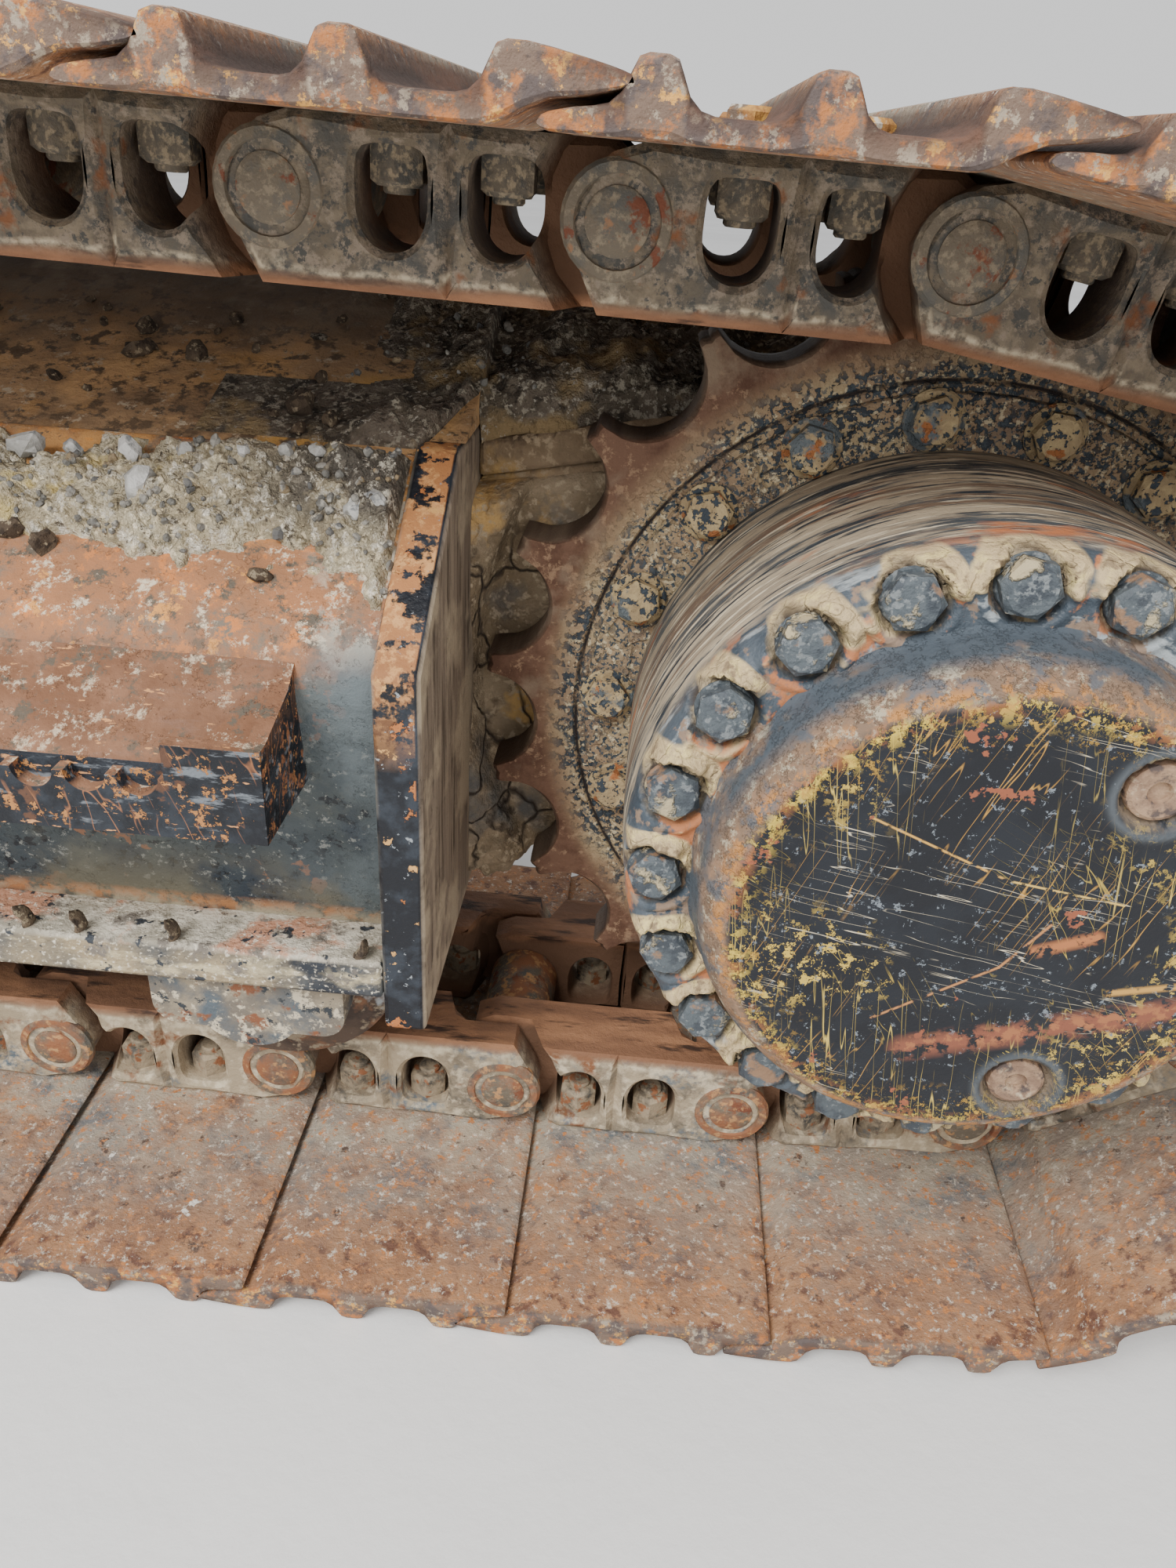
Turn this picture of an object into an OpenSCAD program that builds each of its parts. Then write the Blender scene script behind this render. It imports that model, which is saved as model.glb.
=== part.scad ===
// Crawler track unit of an excavator: side frame, final drive, idler, rollers and track.
// +X points to the drive end, -Y outboard and +Z up. The origin lies on the ground, under the
// middle of the unit. Each module is drawn about the chain's centre plane and set in place by seat().

/* [Track chain] */
// Distance between two chain pins
pitch = 203; // [190:1:216]
// Number of links and shoes in the loop
link_count = 49; // [47:1:51]
// Chain pin to the rail that the rollers run on
rail_h = 51; // [46:1:56]
// Chain pin to the seat of the shoe
seat_h = 41; // [38:1:46]
// Centre plane to the outer face of a link
link_half_w = 115; // [108:1:122]
// Thickness of a link's side where it overlaps its neighbour
link_t = 34; // [28:1:36]
// Running gap between two overlapping link sides
link_gap = 0.8; // [0.5:0.1:2]
// How far a link's end reaches past the pin
link_end = 34; // [30:1:37]
// Radius of a chain bushing
bush_r = 33; // [28:1:36]

/* [Track shoes] */
// Width of a shoe across the track
shoe_w = 600; // [500:10:700]
// Thickness of a shoe's plate
shoe_t = 11; // [9:0.5:14]
// Height of a grouser above the plate
grouser_h = 20; // [14:1:26]
// Width of a grouser at its foot
grouser_w = 28; // [22:1:32]
// How far a shoe's lip reaches past the pin
lip_reach = 28; // [24:1:36]
// How far a shoe's tail reaches past the other pin
tail_reach = 10; // [6:1:14]

/* [Sprocket] */
// Number of teeth; a bushing sits in every second gap
tooth_count = 21; // [19:2:23]
// Thickness of the toothed ring
sprocket_t = 54; // [50:1:66]
// Pitch circle down to the tooth tips
tip_drop = 5; // [1:1:8]
// Radius of the pocket between two teeth
pocket_r = 44; // [38:1:46]
// Angle of the first pin on the sprocket
pin_phase = 64.2; // [50:0.1:75]
// Radius of the black flange that carries the sprocket bolts
sprocket_flange_r = 257; // [252:1:266]

/* [Final drive] */
// Radius of the drum at the sprocket
drum_r = 221; // [216:1:223]
// Centre plane to the drum's front face
drum_front = 240; // [230:1:250]
// Width of the round edge at the drum's front
drum_round = 14; // [8:1:18]
// Radius of the cover bolts' circle
cover_bolt_r = 197; // [196:1:200]
// Number of recesses for cover bolts
cover_bolts_n = 20; // [16:1:22]
// Radius of the recess around each cover bolt
recess_r = 22; // [19:0.5:24]
// Depth of that recess
recess_d = 8; // [4:1:12]
// Radius of the cover's foot
cover_foot_r = 174; // [168:1:176]
// Radius of the cover's flat face
cover_face_r = 154; // [148:1:160]
// How far the cover stands out of the drum
cover_out = 50; // [40:1:56]
// Radius of the drain and level plugs' recess
plug_recess_r = 25; // [22:1:28]
// Radius of the circle on which the two plugs lie
plug_circle_r = 124; // [116:1:126]
// How far the spindle reaches into the drum
spindle_in = 40; // [30:1:60]

/* [Travel motor] */
// Radius of the spindle that the drum turns on
spindle_r = 150; // [140:1:160]
// Radius of the travel motor
motor_r = 112; // [100:1:120]
// Length of the travel motor behind its mounting plate
motor_len = 185; // [160:1:195]
// Clearance between the spindle and the motor's guard
guard_gap = 12; // [8:1:20]
// Thickness of the motor guard's plate
guard_t = 8; // [6:1:12]

/* [Rollers] */
// Number of track rollers
roller_n = 8; // [7:1:9]
// Radius of a track roller's tread
roller_r = 90; // [84:1:94]
// Height of the rim that guides the chain
roller_rim = 16; // [12:1:20]
// Clearance between the end plate and the last track roller's rim
roller_to_plate = 5; // [4:1:20]
// Idler centre to the first track roller
roller_first = 500; // [490:1:530]
// Radius of a track roller's shaft
roller_shaft_r = 27; // [24:1:32]
// Centre plane to the outer face of a roller collar
collar_out = 186; // [182:1:192]
// Thickness of a roller collar
collar_t = 46; // [38:1:52]
// Length of a roller collar along the frame
collar_len = 152; // [140:1:164]
// Radius of the boss of a roller collar
collar_r = 44; // [40:1:48]
// Radius of a carrier roller's tread
carrier_r = 72; // [66:1:78]
// Radius of a carrier roller's shaft
carrier_shaft_r = 25; // [20:1:30]
// Radius of the head of a carrier's post
post_r = 44; // [38:1:48]
// Half length of the foot of a carrier's post
post_foot = 80; // [60:1:100]
// Thickness of a carrier's post
post_t = 40; // [30:1:44]
// Sprocket centre to the rear carrier roller
carrier_rear = 1050; // [950:10:1150]
// Sprocket centre to the front carrier roller
carrier_front = 2750; // [2650:10:2850]
// Clearance between a carrier roller and the straight rail of the link above it
carrier_gap = 4; // [3:0.5:8]
// How far the chain rises over the carriers, above the higher of idler and sprocket
carrier_lift = 2; // [0:1:40]

/* [Idler] */
// Radius of the path that chain pins follow round the idler
idler_path_r = 356; // [350:1:362]
// Clearance between the idler's tread and the middle of a link's rail
idler_gap = 5; // [5:0.5:8]
// Height of the idler's middle rim above its tread
idler_rim = 19; // [15:1:22]
// Half width of the idler's middle rim
idler_rim_half_w = 39; // [34:1:40]
// Half width of the idler's tread
idler_half_w = 82; // [76:1:86]
// Radius of the idler's shaft
idler_shaft_r = 38; // [32:1:42]
// How far the idler moves back against its spring
idler_travel = 80; // [60:1:90]
// Radius of the adjuster's rod
rod_r = 36; // [30:1:40]

/* [Side frame] */
// Half width of the frame's foot, which carries the rollers
foot_half_w = 200; // [196:1:204]
// Width of each foot strip
foot_w = 60; // [54:1:61]
// Thickness of each foot strip
foot_t = 34; // [28:1:38]
// Clearance between the foot strips and the roller shafts under them
foot_gap = 1; // [0.5:0.5:4]
// Half width of the beam at its bend
bend_half_w = 194; // [188:1:198]
// Height of the bend above the lower pins
bend_z = 436; // [425:1:445]
// Half width of the beam's flat top
top_half_w = 52; // [46:1:60]
// Height of the flat top above the lower pins
top_z = 537; // [528:1:544]
// Half width of the beam where it meets its feet
waist_half_w = 152; // [148:1:158]
// Radius of the beam's bend
bend_r = 45; // [30:1:60]
// Wall of the beam
wall = 14; // [10:1:18]
// Height of the beam's floor above the lower pins
floor_z = 262; // [258:1:268]
// Half width of the rear roof at its inboard side
rear_roof_w = 194; // [180:1:198]
// Rise of the rear roof towards the machine, for each mm of width
rear_roof_slope = 0.36; // [0.2:0.01:0.4]
// Length of the rear roof over the beam
rear_roof_len = 470; // [300:10:500]
// Height of the mud hood's underside at the end plate, above the sprocket's centre
hood_low = 159; // [140:1:165]
// Thickness of the mud hood
hood_t = 28; // [20:1:32]
// Angle about the sprocket at which the mud hood ends
hood_end = 70; // [50:1:85]
// Thickness of the end plate
end_plate_t = 32; // [26:1:34]
// Gap between the end plate and the sprocket's teeth
end_plate_gap = 15; // [10:1:24]
// How far the end plate's edge stands out of the beam's roof
end_plate_lip = 6; // [2:1:12]
// How far the end plate hangs below the foot strips
end_plate_drop = 28; // [22:1:34]
// Thickness of the plate that carries the final drive
drive_plate_t = 40; // [32:1:46]
// Gap between the sprocket and that plate
drive_plate_gap = 8; // [6:1:12]
// Thickness of the plate that closes the beam's front
front_plate_t = 16; // [12:1:20]
// Thickness of the frame's fork plates at the idler
fork_t = 30; // [24:1:34]
// Centre plane to the inner face of a fork plate
fork_in = 142; // [140:1:146]

/* [Steps] */
// Length of a step
step_len = 420; // [360:10:460]
// Height of a step's face
step_h = 66; // [60:1:76]
// Centre plane to a step's outer face
step_out = 262; // [250:1:270]
// Plate thickness of a step
step_t = 12; // [8:1:14]
// Height of a step's top above the lower pins
step_top = 408; // [402:1:414]
// Gap between the end plate and the rear step
step_to_plate = 52; // [40:1:80]
// Distance between the two steps
step_apart = 1500; // [1400:10:1600]

/* [Car body saddles] */
// Length of a saddle along the frame
saddle_len = 700; // [620:10:740]
// Beam's rear end to the rear saddle
saddle_back = 300; // [250:10:380]
// Distance between the two saddles' centres
saddle_apart = 1780; // [1700:10:1840]
// Wall of a saddle
saddle_wall = 22; // [16:1:26]
// Thickness of a saddle's flange
flange_t = 34; // [30:1:38]
// Height of a saddle's flange
flange_h = 430; // [410:1:440]
// Height of a saddle's flange foot above the lower pins
flange_foot = 200; // [190:1:210]
// Gap between the shoes' inner edge and the flange
flange_gap = 5; // [4:0.5:10]
// Flange's end to its outer bolts
flange_bolt_edge = 40; // [30:1:60]
// Bolt spacing of a flange along the frame, inner bolts
flange_bolt_in = 220; // [180:10:300]
// Bolt spacing of a flange in height
flange_bolt_z = 350; // [330:5:360]
// Radius of a flange's bolt holes
flange_hole_r = 16; // [13:0.5:18]

/* [Hidden] */

// Clearances and small sizes that several pieces share
carrier_rim = 12;
carrier_sink = 8;
seat_gap = 0.3;
guide_gap = 0.7;
slide_gap = 5;
rod_gap = 0.8;
fine = 96;
coarse = 48;

// The loop that the pins follow, as a belt round four circles, each [x, z, radius] about the sprocket
pitch_r = pitch / 2 / sin(360 / tooth_count);
pin_z = seat_h + shoe_t + grouser_h;
idler_dz = idler_path_r - pitch_r;
carrier_path_r = carrier_r + carrier_gap + rail_h;
carrier_rise = 2 * max(idler_path_r, pitch_r) + carrier_lift;
carrier_dz = carrier_rise - pitch_r - carrier_path_r;
function circles(reach) = [
  [0, 0, pitch_r],
  [-carrier_rear, carrier_dz, carrier_path_r],
  [-carrier_front, carrier_dz, carrier_path_r],
  [-reach, idler_dz, idler_path_r]];

// Direction of the belt's tangent points from circle a to circle b, as an angle
function tangent(a, b) =
  let (d = [b[0] - a[0], b[1] - a[1]])
  atan2(d[1], d[0]) - acos((a[2] - b[2]) / norm(d));
function on_circle(c, angle) = [c[0] + c[2] * cos(angle), c[1] + c[2] * sin(angle)];
function turn(from, to) = (to - from) - 360 * floor((to - from) / 360);

// The belt's stretches: an arc is [length, 1, circle, start angle], a line is [length, 0, start, end]
function stretches(cs) =
  let (n = len(cs), ts = [for (i = [0:n - 1]) tangent(cs[i], cs[(i + 1) % n])])
  [for (i = [0:n - 1]) each
    let (j = (i + 1) % n, a = ts[(i + n - 1) % n], p = on_circle(cs[i], ts[i]), q = on_circle(cs[j], ts[i]))
    [[cs[i][2] * turn(a, ts[i]) * PI / 180, 1, cs[i], a], [norm(q - p), 0, p, q]]];
function total(st, i = 0) = i == len(st) ? 0 : st[i][0] + total(st, i + 1);
function along(st, s, i = 0) =
  s > st[i][0] ? along(st, s - st[i][0], (i + 1) % len(st)) :
  st[i][1] == 1 ? on_circle(st[i][2], st[i][3] + s / st[i][2][2] * 180 / PI) :
  st[i][2] + (st[i][3] - st[i][2]) * s / st[i][0];

// Steps along the belt so that the straight distance between two pins is one pitch
function next_pin(st, s, t = pitch, tries = 6) =
  tries == 0 ? s + t : next_pin(st, s, t + pitch - norm(along(st, s + t) - along(st, s)), tries - 1);
function walk(st, s, n) = n == 0 ? [s] : concat([s], walk(st, next_pin(st, s), n - 1));
function first_pin(st) = pitch_r * turn(st[0][3], pin_phase) * PI / 180;
function misfit(reach) =
  let (st = stretches(circles(reach)), ss = walk(st, first_pin(st), link_count))
  ss[link_count] - ss[0] - total(st);

// Halves the span until the loop closes on a whole number of links
function closing(low, high, tries = 22) =
  tries == 0 ? (low + high) / 2 :
  let (mid = (low + high) / 2)
  misfit(mid) > 0 ? closing(mid, high, tries - 1) : closing(low, mid, tries - 1);
rough_reach = (link_count * pitch - PI * (pitch_r + idler_path_r)) / 2;
reach = closing(rough_reach - 200, rough_reach + 60);
loop = stretches(circles(reach));
pin_s = walk(loop, first_pin(loop), link_count);
pins = [for (s = pin_s) along(loop, s)];
function link_angle(k) = let (d = pins[k + 1] - pins[k]) atan2(d[1], d[0]);

// Places along the frame, about the origin's middle
front_out = idler_path_r + pin_z;
rear_out = pitch_r + pin_z;
sprocket_x = (reach + front_out - rear_out) / 2;
sprocket_z = pin_z + pitch_r;
idler_x = sprocket_x - reach;
idler_z = pin_z + idler_path_r;
tip_r = pitch_r - tip_drop;
plate_x = sprocket_x - tip_r - end_plate_gap;
beam_rear = plate_x - end_plate_t;
idler_r = sqrt(pow(idler_path_r, 2) - pow(pitch / 2, 2)) - rail_h - idler_gap;
idler_free = 22;
yoke_back = idler_r + idler_rim + idler_free;
yoke_t = 60;
beam_front = idler_x + yoke_back + yoke_t + idler_travel + front_plate_t + 2 * slide_gap;
fork_lead = 95;
fork_reach = idler_x - fork_lead;
foot_margin = 12;
foot_front = idler_x + roller_first - collar_len / 2 - foot_margin;
roller_last = tip_r + end_plate_gap + end_plate_t + roller_to_plate + roller_r + roller_rim;
roller_z = pin_z + rail_h + roller_r;
foot_z = roller_z + roller_shaft_r + foot_gap;
foot_top = foot_z + foot_t - pin_z;
shaft_z = idler_z;
inner_in = link_half_w - link_t;
inner_out = inner_in - link_gap;
inner_back = inner_out - link_t;
step_x = beam_rear - step_to_plate - step_len / 2;
saddle_x = beam_rear - saddle_back - saddle_len / 2;
flange_y = shoe_w / 2 + flange_gap;
inboard = flange_y + flange_t;
flange_bolt_x = saddle_len - 2 * flange_bolt_edge;
chain_y = (shoe_w / 2 - inboard) / 2;
drive_plate_y = sprocket_t / 2 + drive_plate_gap;

// Rounds the corners of an outline; round_at gives each corner's radius, 0 for a sharp one
function corner(a, b, c, r) =
  let (u = (a - b) / norm(a - b), w = (c - b) / norm(c - b), half = acos(u * w) / 2,
    centre = b + (u + w) / norm(u + w) * r / sin(half), start = b + u * r / tan(half) - centre,
    way = cross(u, w) > 0 ? -1 : 1, sweep = (180 - 2 * half) * way)
  [for (i = [0:4]) let (t = sweep * i / 4)
    centre + [start[0] * cos(t) - start[1] * sin(t), start[0] * sin(t) + start[1] * cos(t)]];
function rounded(points, round_at) = [for (i = [0:len(points) - 1]) each
  round_at[i] == 0 ? [points[i]] :
  corner(points[(i + len(points) - 1) % len(points)], points[i], points[(i + 1) % len(points)], round_at[i])];

// From the chain's own frame to the part's frame
module seat() translate([0, chain_y, 0]) children();
// Stands a drawing in x and z upright, and pulls it along y from y0 to y1
module across(y0, y1) translate([0, y1, 0]) rotate([90, 0, 0]) linear_extrude(y1 - y0) children();
// Pulls a drawing in y and z along x from x0 to x1
module lengthwise(x0, x1) translate([x0, 0, 0]) rotate([90, 0, 90]) linear_extrude(x1 - x0) children();
// A shaft or bore along y
module rod_y(x, z, r, y0, y1, fn = fine)
  translate([x, y0, z]) rotate([-90, 0, 0]) cylinder(h = y1 - y0, r = r, $fn = fn);
// A body of revolution about y; the outline is [radius, y]
module spun(x, z, outline)
  translate([x, 0, z]) rotate([-90, 0, 0]) rotate_extrude($fn = fine) polygon(outline);
module both_sides() { children(); mirror([0, 1, 0]) children(); }
module at_link(k)
  translate([sprocket_x + pins[k][0], 0, sprocket_z + pins[k][1]]) rotate([0, -link_angle(k), 0]) children();
module ring(n, r, first = 0)
  for (i = [0:n - 1]) rotate([0, -first - i * 360 / n, 0]) translate([r, 0, 0]) children();

// The pressed beam: roof, bends, leaning sides and a floor above the rollers
function mirrored(half) = concat(half, [for (i = [len(half) - 1:-1:0]) [-half[i][0], half[i][1]]]);
roof_edge_r = 20;
floor_lean = 6;
function section() = rounded(mirrored([
  [top_half_w, top_z], [bend_half_w, bend_z], [waist_half_w, foot_top], [waist_half_w - wall, foot_top],
  [waist_half_w - wall + floor_lean, floor_z]]), [roof_edge_r, bend_r, 0, 0, 0, 0, 0, 0, bend_r, roof_edge_r]);
function hollow() = [
  [top_half_w - wall / 3, top_z - wall], [bend_half_w - wall * 1.6, bend_z - wall / 2],
  [waist_half_w - wall / 2, floor_z + wall]];
// Forward of the rear roof the beam's top is cut lower, under the carrier rollers
rear_roof_front = beam_rear - rear_roof_len;
low_roof_z = sprocket_z + carrier_dz - carrier_r - carrier_rim - carrier_sink - pin_z;
low_roof_x = rear_roof_front - wall;
module below(z) difference() {
  children();
  translate([-shoe_w, z]) square([2 * shoe_w, pitch]);
}
module beam() color("#4a4440") translate([0, 0, pin_z]) difference() {
  union() {
    lengthwise(beam_front, low_roof_x) below(low_roof_z) polygon(section());
    lengthwise(low_roof_x, beam_rear) polygon(section());
  }
  lengthwise(beam_front - 1, low_roof_x + wall + 1) below(low_roof_z - wall) polygon(mirrored(hollow()));
  lengthwise(low_roof_x + wall, beam_rear + 1) polygon(mirrored(hollow()));
}
// The folded plate over the beam's rear end rises inboard; its ends are closed
rear_roof_y = slide_gap / 2 - top_half_w;
function roof_rise(y) = top_z + rear_roof_slope * (y + top_half_w);
module rear_roof() color("#5a4438") translate([0, 0, pin_z]) difference() {
  lengthwise(rear_roof_front, plate_x) polygon([
    [rear_roof_y, top_z], [rear_roof_w, roof_rise(rear_roof_w)], [rear_roof_w, bend_z], [0, bend_z]]);
  lengthwise(rear_roof_front + wall, beam_rear - wall) polygon([
    [rear_roof_y + wall / rear_roof_slope, top_z], [rear_roof_w - wall, roof_rise(rear_roof_w - wall) - wall],
    [rear_roof_w - wall, bend_z - wall], [0, bend_z - wall]]);
  translate([0, 0, seat_gap]) lengthwise(rear_roof_front - 1, beam_rear + 1) polygon(section());
  translate([0, 0, seat_gap]) lengthwise(beam_rear - 1, plate_x + 1) polygon(mirrored(plate_half()));
}
module foot_strips() color("#3b3a3c") both_sides()
  translate([0, 0, pin_z]) lengthwise(foot_front, beam_rear - seat_gap)
    translate([foot_half_w - foot_w, foot_top - foot_t]) square([foot_w, foot_t]);

function plate_half() = [
  [top_half_w, top_z + end_plate_lip], [foot_half_w, bend_z],
  [foot_half_w, foot_top - foot_t - end_plate_drop]];
module end_plate() color("#2f3238") translate([0, 0, pin_z])
  lengthwise(beam_rear, plate_x) polygon(mirrored(plate_half()));

// The plate that carries the final drive, with the spindle's seat bored through it
drive_plate_w = 75;
drive_plate_r = spindle_r + drive_plate_w;
drive_plate_foot = foot_top - foot_t / 2;
drive_centre = [sprocket_x, sprocket_z];
drive_plate_top = [plate_x, sprocket_z + hood_low];
function touch_angle(q, side) =
  let (d = q - drive_centre) atan2(d[1], d[0]) + side * acos(drive_plate_r / norm(d));
function around(r, a) = drive_centre + r * [cos(a), sin(a)];
module drive_plate() color("#6b5a45") difference() {
  across(drive_plate_y, drive_plate_y + drive_plate_t) union() {
    translate(drive_centre) circle(r = drive_plate_r, $fn = fine);
    let (low = [plate_x, pin_z + drive_plate_foot]) polygon([
      drive_plate_top, low, around(drive_plate_r, touch_angle(low, 1)), drive_centre,
      around(drive_plate_r, touch_angle(drive_plate_top, -1))]);
  }
  rod_y(sprocket_x, sprocket_z, spindle_r + seat_gap, drive_plate_y - 1, drive_plate_y + drive_plate_t + 1);
}
// The folded plate on top of the drive plate, which keeps mud off it
hood_out = 5;
hood_start = touch_angle(drive_plate_top, -1);
hood_inner = drive_plate_r + seat_gap;
function hood_arc(r) = [for (i = [0:8]) around(r, hood_start + i * (hood_end - hood_start) / 8)];
module mud_hood() color("#6b5a45")
  across(drive_plate_y - hood_out, rear_roof_w) polygon(concat(
    [drive_plate_top + [0, seat_gap], drive_plate_top + [0, hood_t]], hood_arc(drive_plate_r + hood_t),
    [for (i = [8:-1:0]) hood_arc(hood_inner)[i]]));

// The two fork plates that the idler's blocks slide in
block_half = 80;
guide_half = 50;
fork_half_h = 96;
fork_grow = 12;
fork_slant = 100;
fork_top = bend_z - 20;
slot_end = idler_x + block_half + idler_travel + slide_gap;
fork_back = beam_front - front_plate_t;
module front_fork() color("#3b3a3c") both_sides()
  across(fork_in, fork_in + fork_t) difference() {
    polygon([
      [fork_back, pin_z + foot_top], [fork_back, pin_z + fork_top],
      [fork_back - fork_slant, idler_z + fork_half_h + fork_grow], [fork_reach, idler_z + fork_half_h],
      [fork_reach, idler_z - fork_half_h], [foot_front - foot_w, idler_z - fork_half_h - fork_grow],
      [foot_front, pin_z + foot_top]]);
    translate([fork_reach - 1, idler_z - guide_half]) square([slot_end - fork_reach + 1, 2 * guide_half]);
  }
// Closes the beam's front and lets the adjuster's rod through
module front_plate() color("#3b3a3c") difference() {
  translate([0, 0, pin_z]) lengthwise(fork_back, beam_front) below(low_roof_z) polygon(section());
  translate([fork_back - 1, 0, idler_z]) rotate([0, 90, 0])
    cylinder(h = front_plate_t + 2, r = rod_r + slide_gap, $fn = fine);
}

// A step: its top plate carries on the beam's slope, its front plate has a lower toothed middle
step_in = waist_half_w + 20;
step_end = 61;
step_drop = 24;
step_peak = bend_z - step_t;
step_tooth = 33;
step_teeth = floor((step_len - 2 * step_end) / step_tooth);
slope = (top_z - bend_z) / (bend_half_w - top_half_w);
shoulder_z = bend_z - bend_r * 0.18;
step_edge_z = shoulder_z - slope * (step_out - bend_half_w);
module step_face() difference() {
  translate([-step_len / 2, 0]) square([step_len, step_h]);
  translate([-step_len / 2 + step_end, step_h - step_drop]) square([step_len - 2 * step_end, step_drop + 1]);
  for (i = [0:step_teeth - 1]) translate([(i + 0.5 - step_teeth / 2) * step_tooth, step_h - step_drop])
    circle(r = step_tooth * 0.4, $fn = 24);
}
module step() color("#2f3238") translate([0, 0, pin_z]) {
  translate([0, -step_out + step_t, step_top - step_h]) across(-step_t, 0) step_face();
  difference() {
    union() {
      lengthwise(-step_len / 2, step_len / 2) polygon([
        [-step_out + step_t, step_edge_z - step_t], [-step_in, step_edge_z - step_t + slope * (step_out - step_in)],
        [-step_in, step_edge_z + slope * (step_out - step_in)], [-step_out + step_t, step_edge_z + slope * step_t]]);
      for (x = [-step_len / 2, step_len / 2 - step_t]) lengthwise(x, x + step_t) polygon([
        [-step_out + step_t, step_top - step_h], [-step_in, step_top - step_h],
        [-step_in, step_peak], [-bend_half_w, step_peak], [-step_out + step_t, step_top]]);
    }
    lengthwise(-step_len, step_len) polygon(section());
  }
}
module step_rear() translate([step_x, 0, 0]) step();
module step_front() translate([step_x - step_apart, 0, 0]) step();

// A saddle is a hollow arm from the beam to the flange that bolts to the car body
saddle_drop = 10;
saddle_inset = 30;
saddle_foot = floor_z - saddle_drop;
saddle_crown = flange_foot + flange_h - saddle_inset;
function beam_side(z) =
  waist_half_w + (bend_half_w - waist_half_w) * (z - foot_top) / (bend_z - foot_top) + seat_gap;
function saddle_outline(inset) = [
  [beam_side(bend_z - inset), bend_z - inset], [flange_y, saddle_crown - inset],
  [flange_y, saddle_foot + inset], [beam_side(saddle_foot + inset), saddle_foot + inset]];
module saddle() color("#5a4a3a") translate([0, 0, pin_z]) difference() {
  lengthwise(-saddle_len / 2, saddle_len / 2) polygon(saddle_outline(0));
  lengthwise(-saddle_len / 2 + saddle_wall, saddle_len / 2 - saddle_wall) polygon(saddle_outline(saddle_wall));
}
module saddle_rear() translate([saddle_x, 0, 0]) saddle();
module saddle_front() translate([saddle_x - saddle_apart, 0, 0]) saddle();
module flange() color("#3b3a3c") difference() {
  translate([-saddle_len / 2, flange_y, pin_z + flange_foot]) cube([saddle_len, flange_t, flange_h]);
  for (x = [-flange_bolt_x, -flange_bolt_in, flange_bolt_in, flange_bolt_x], z = [-1, 1])
    rod_y(x / 2, pin_z + flange_foot + flange_h / 2 + z * flange_bolt_z / 2,
      flange_hole_r, flange_y - 1, inboard + 1, coarse);
}
module flange_rear() translate([saddle_x, 0, 0]) flange();
module flange_front() translate([saddle_x - saddle_apart, 0, 0]) flange();

// The final drive: a fixed spindle, the drum that carries the sprocket, and its bolted cover
drum_back = sprocket_t / 2;
spindle_out = 12;
motor_y = drive_plate_y + drive_plate_t + spindle_out;
module spindle() color("#5d5348")
  rod_y(sprocket_x, sprocket_z, spindle_r, seat_gap - drum_back - spindle_in, motor_y);
motor_cap = 40;
motor_step = 18;
port_w = 90;
port_h = 34;
port_sink = 14;
port_back = 30;
module travel_motor() color("#33312f") {
  rod_y(sprocket_x, sprocket_z, motor_r, motor_y, motor_y + motor_len - motor_cap);
  rod_y(sprocket_x, sprocket_z, motor_r - motor_step, motor_y + motor_len - motor_cap, motor_y + motor_len);
  translate([sprocket_x - port_w / 2, motor_y + port_back, sprocket_z + motor_r - port_sink])
    cube([port_w, port_w, port_h]);
}
guard_r = spindle_r + guard_gap;
guard_over = 14;
guard_low = 10;
module motor_guard() color("#3b3a3c")
  translate([sprocket_x, 0, sprocket_z])
    across(drive_plate_y + drive_plate_t, motor_y + motor_len + guard_over) difference() {
      union() {
        circle(r = guard_r + guard_t, $fn = fine);
        translate([-guard_r - guard_t, 0]) square([2 * (guard_r + guard_t), motor_r - guard_low]);
      }
      circle(r = guard_r, $fn = fine);
      translate([-guard_r, 0]) square([2 * guard_r, guard_r + guard_t + 1]);
    }
drum_shoulder = 70;
drum_taper = 4;
first_bolt = 3;
module drum() color("#5a5650") difference() {
  spun(sprocket_x, sprocket_z, [
    [0, -drum_back], [drum_r, -drum_back], [drum_r, -drum_front + drum_shoulder],
    [drum_r - drum_taper, -drum_front + drum_round],
    [drum_r - drum_taper - drum_round * 0.3, -drum_front + drum_round * 0.3],
    [drum_r - drum_taper - drum_round, -drum_front], [0, -drum_front]]);
  rod_y(sprocket_x, sprocket_z, spindle_r + seat_gap, -drum_back - spindle_in, -drum_back + 1);
  translate([sprocket_x, 0, sprocket_z]) ring(cover_bolts_n, cover_bolt_r, first_bolt)
    rod_y(0, 0, recess_r, -drum_front - 1, -drum_front + recess_d, coarse);
}
cover_taper = 5;
cover_rim = 9;
plug_recess_d = 9;
plug_head_r = 15;
plug_head_h = 6;
cover_y = -drum_front - cover_out;
module cover() color("#22252c") difference() {
  spun(sprocket_x, sprocket_z, [
    [0, -drum_front], [cover_foot_r, -drum_front], [cover_foot_r - cover_taper, -drum_front - cover_out / 2],
    [cover_face_r + cover_rim, cover_y + cover_rim], [cover_face_r, cover_y], [0, cover_y]]);
  translate([sprocket_x, 0, sprocket_z]) at_plugs()
    rod_y(0, 0, plug_recess_r, cover_y - 1, cover_y + plug_recess_d, coarse);
}
plug_angles = [-68, 56];
module at_plugs() for (a = plug_angles) rotate([0, -a, 0]) translate([plug_circle_r, 0, 0]) children();
module cover_plugs() color("#7a4a2c") translate([sprocket_x, 0, sprocket_z]) at_plugs()
  rod_y(0, 0, plug_head_r, cover_y + plug_recess_d - plug_head_h, cover_y + plug_recess_d, 6);

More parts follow.
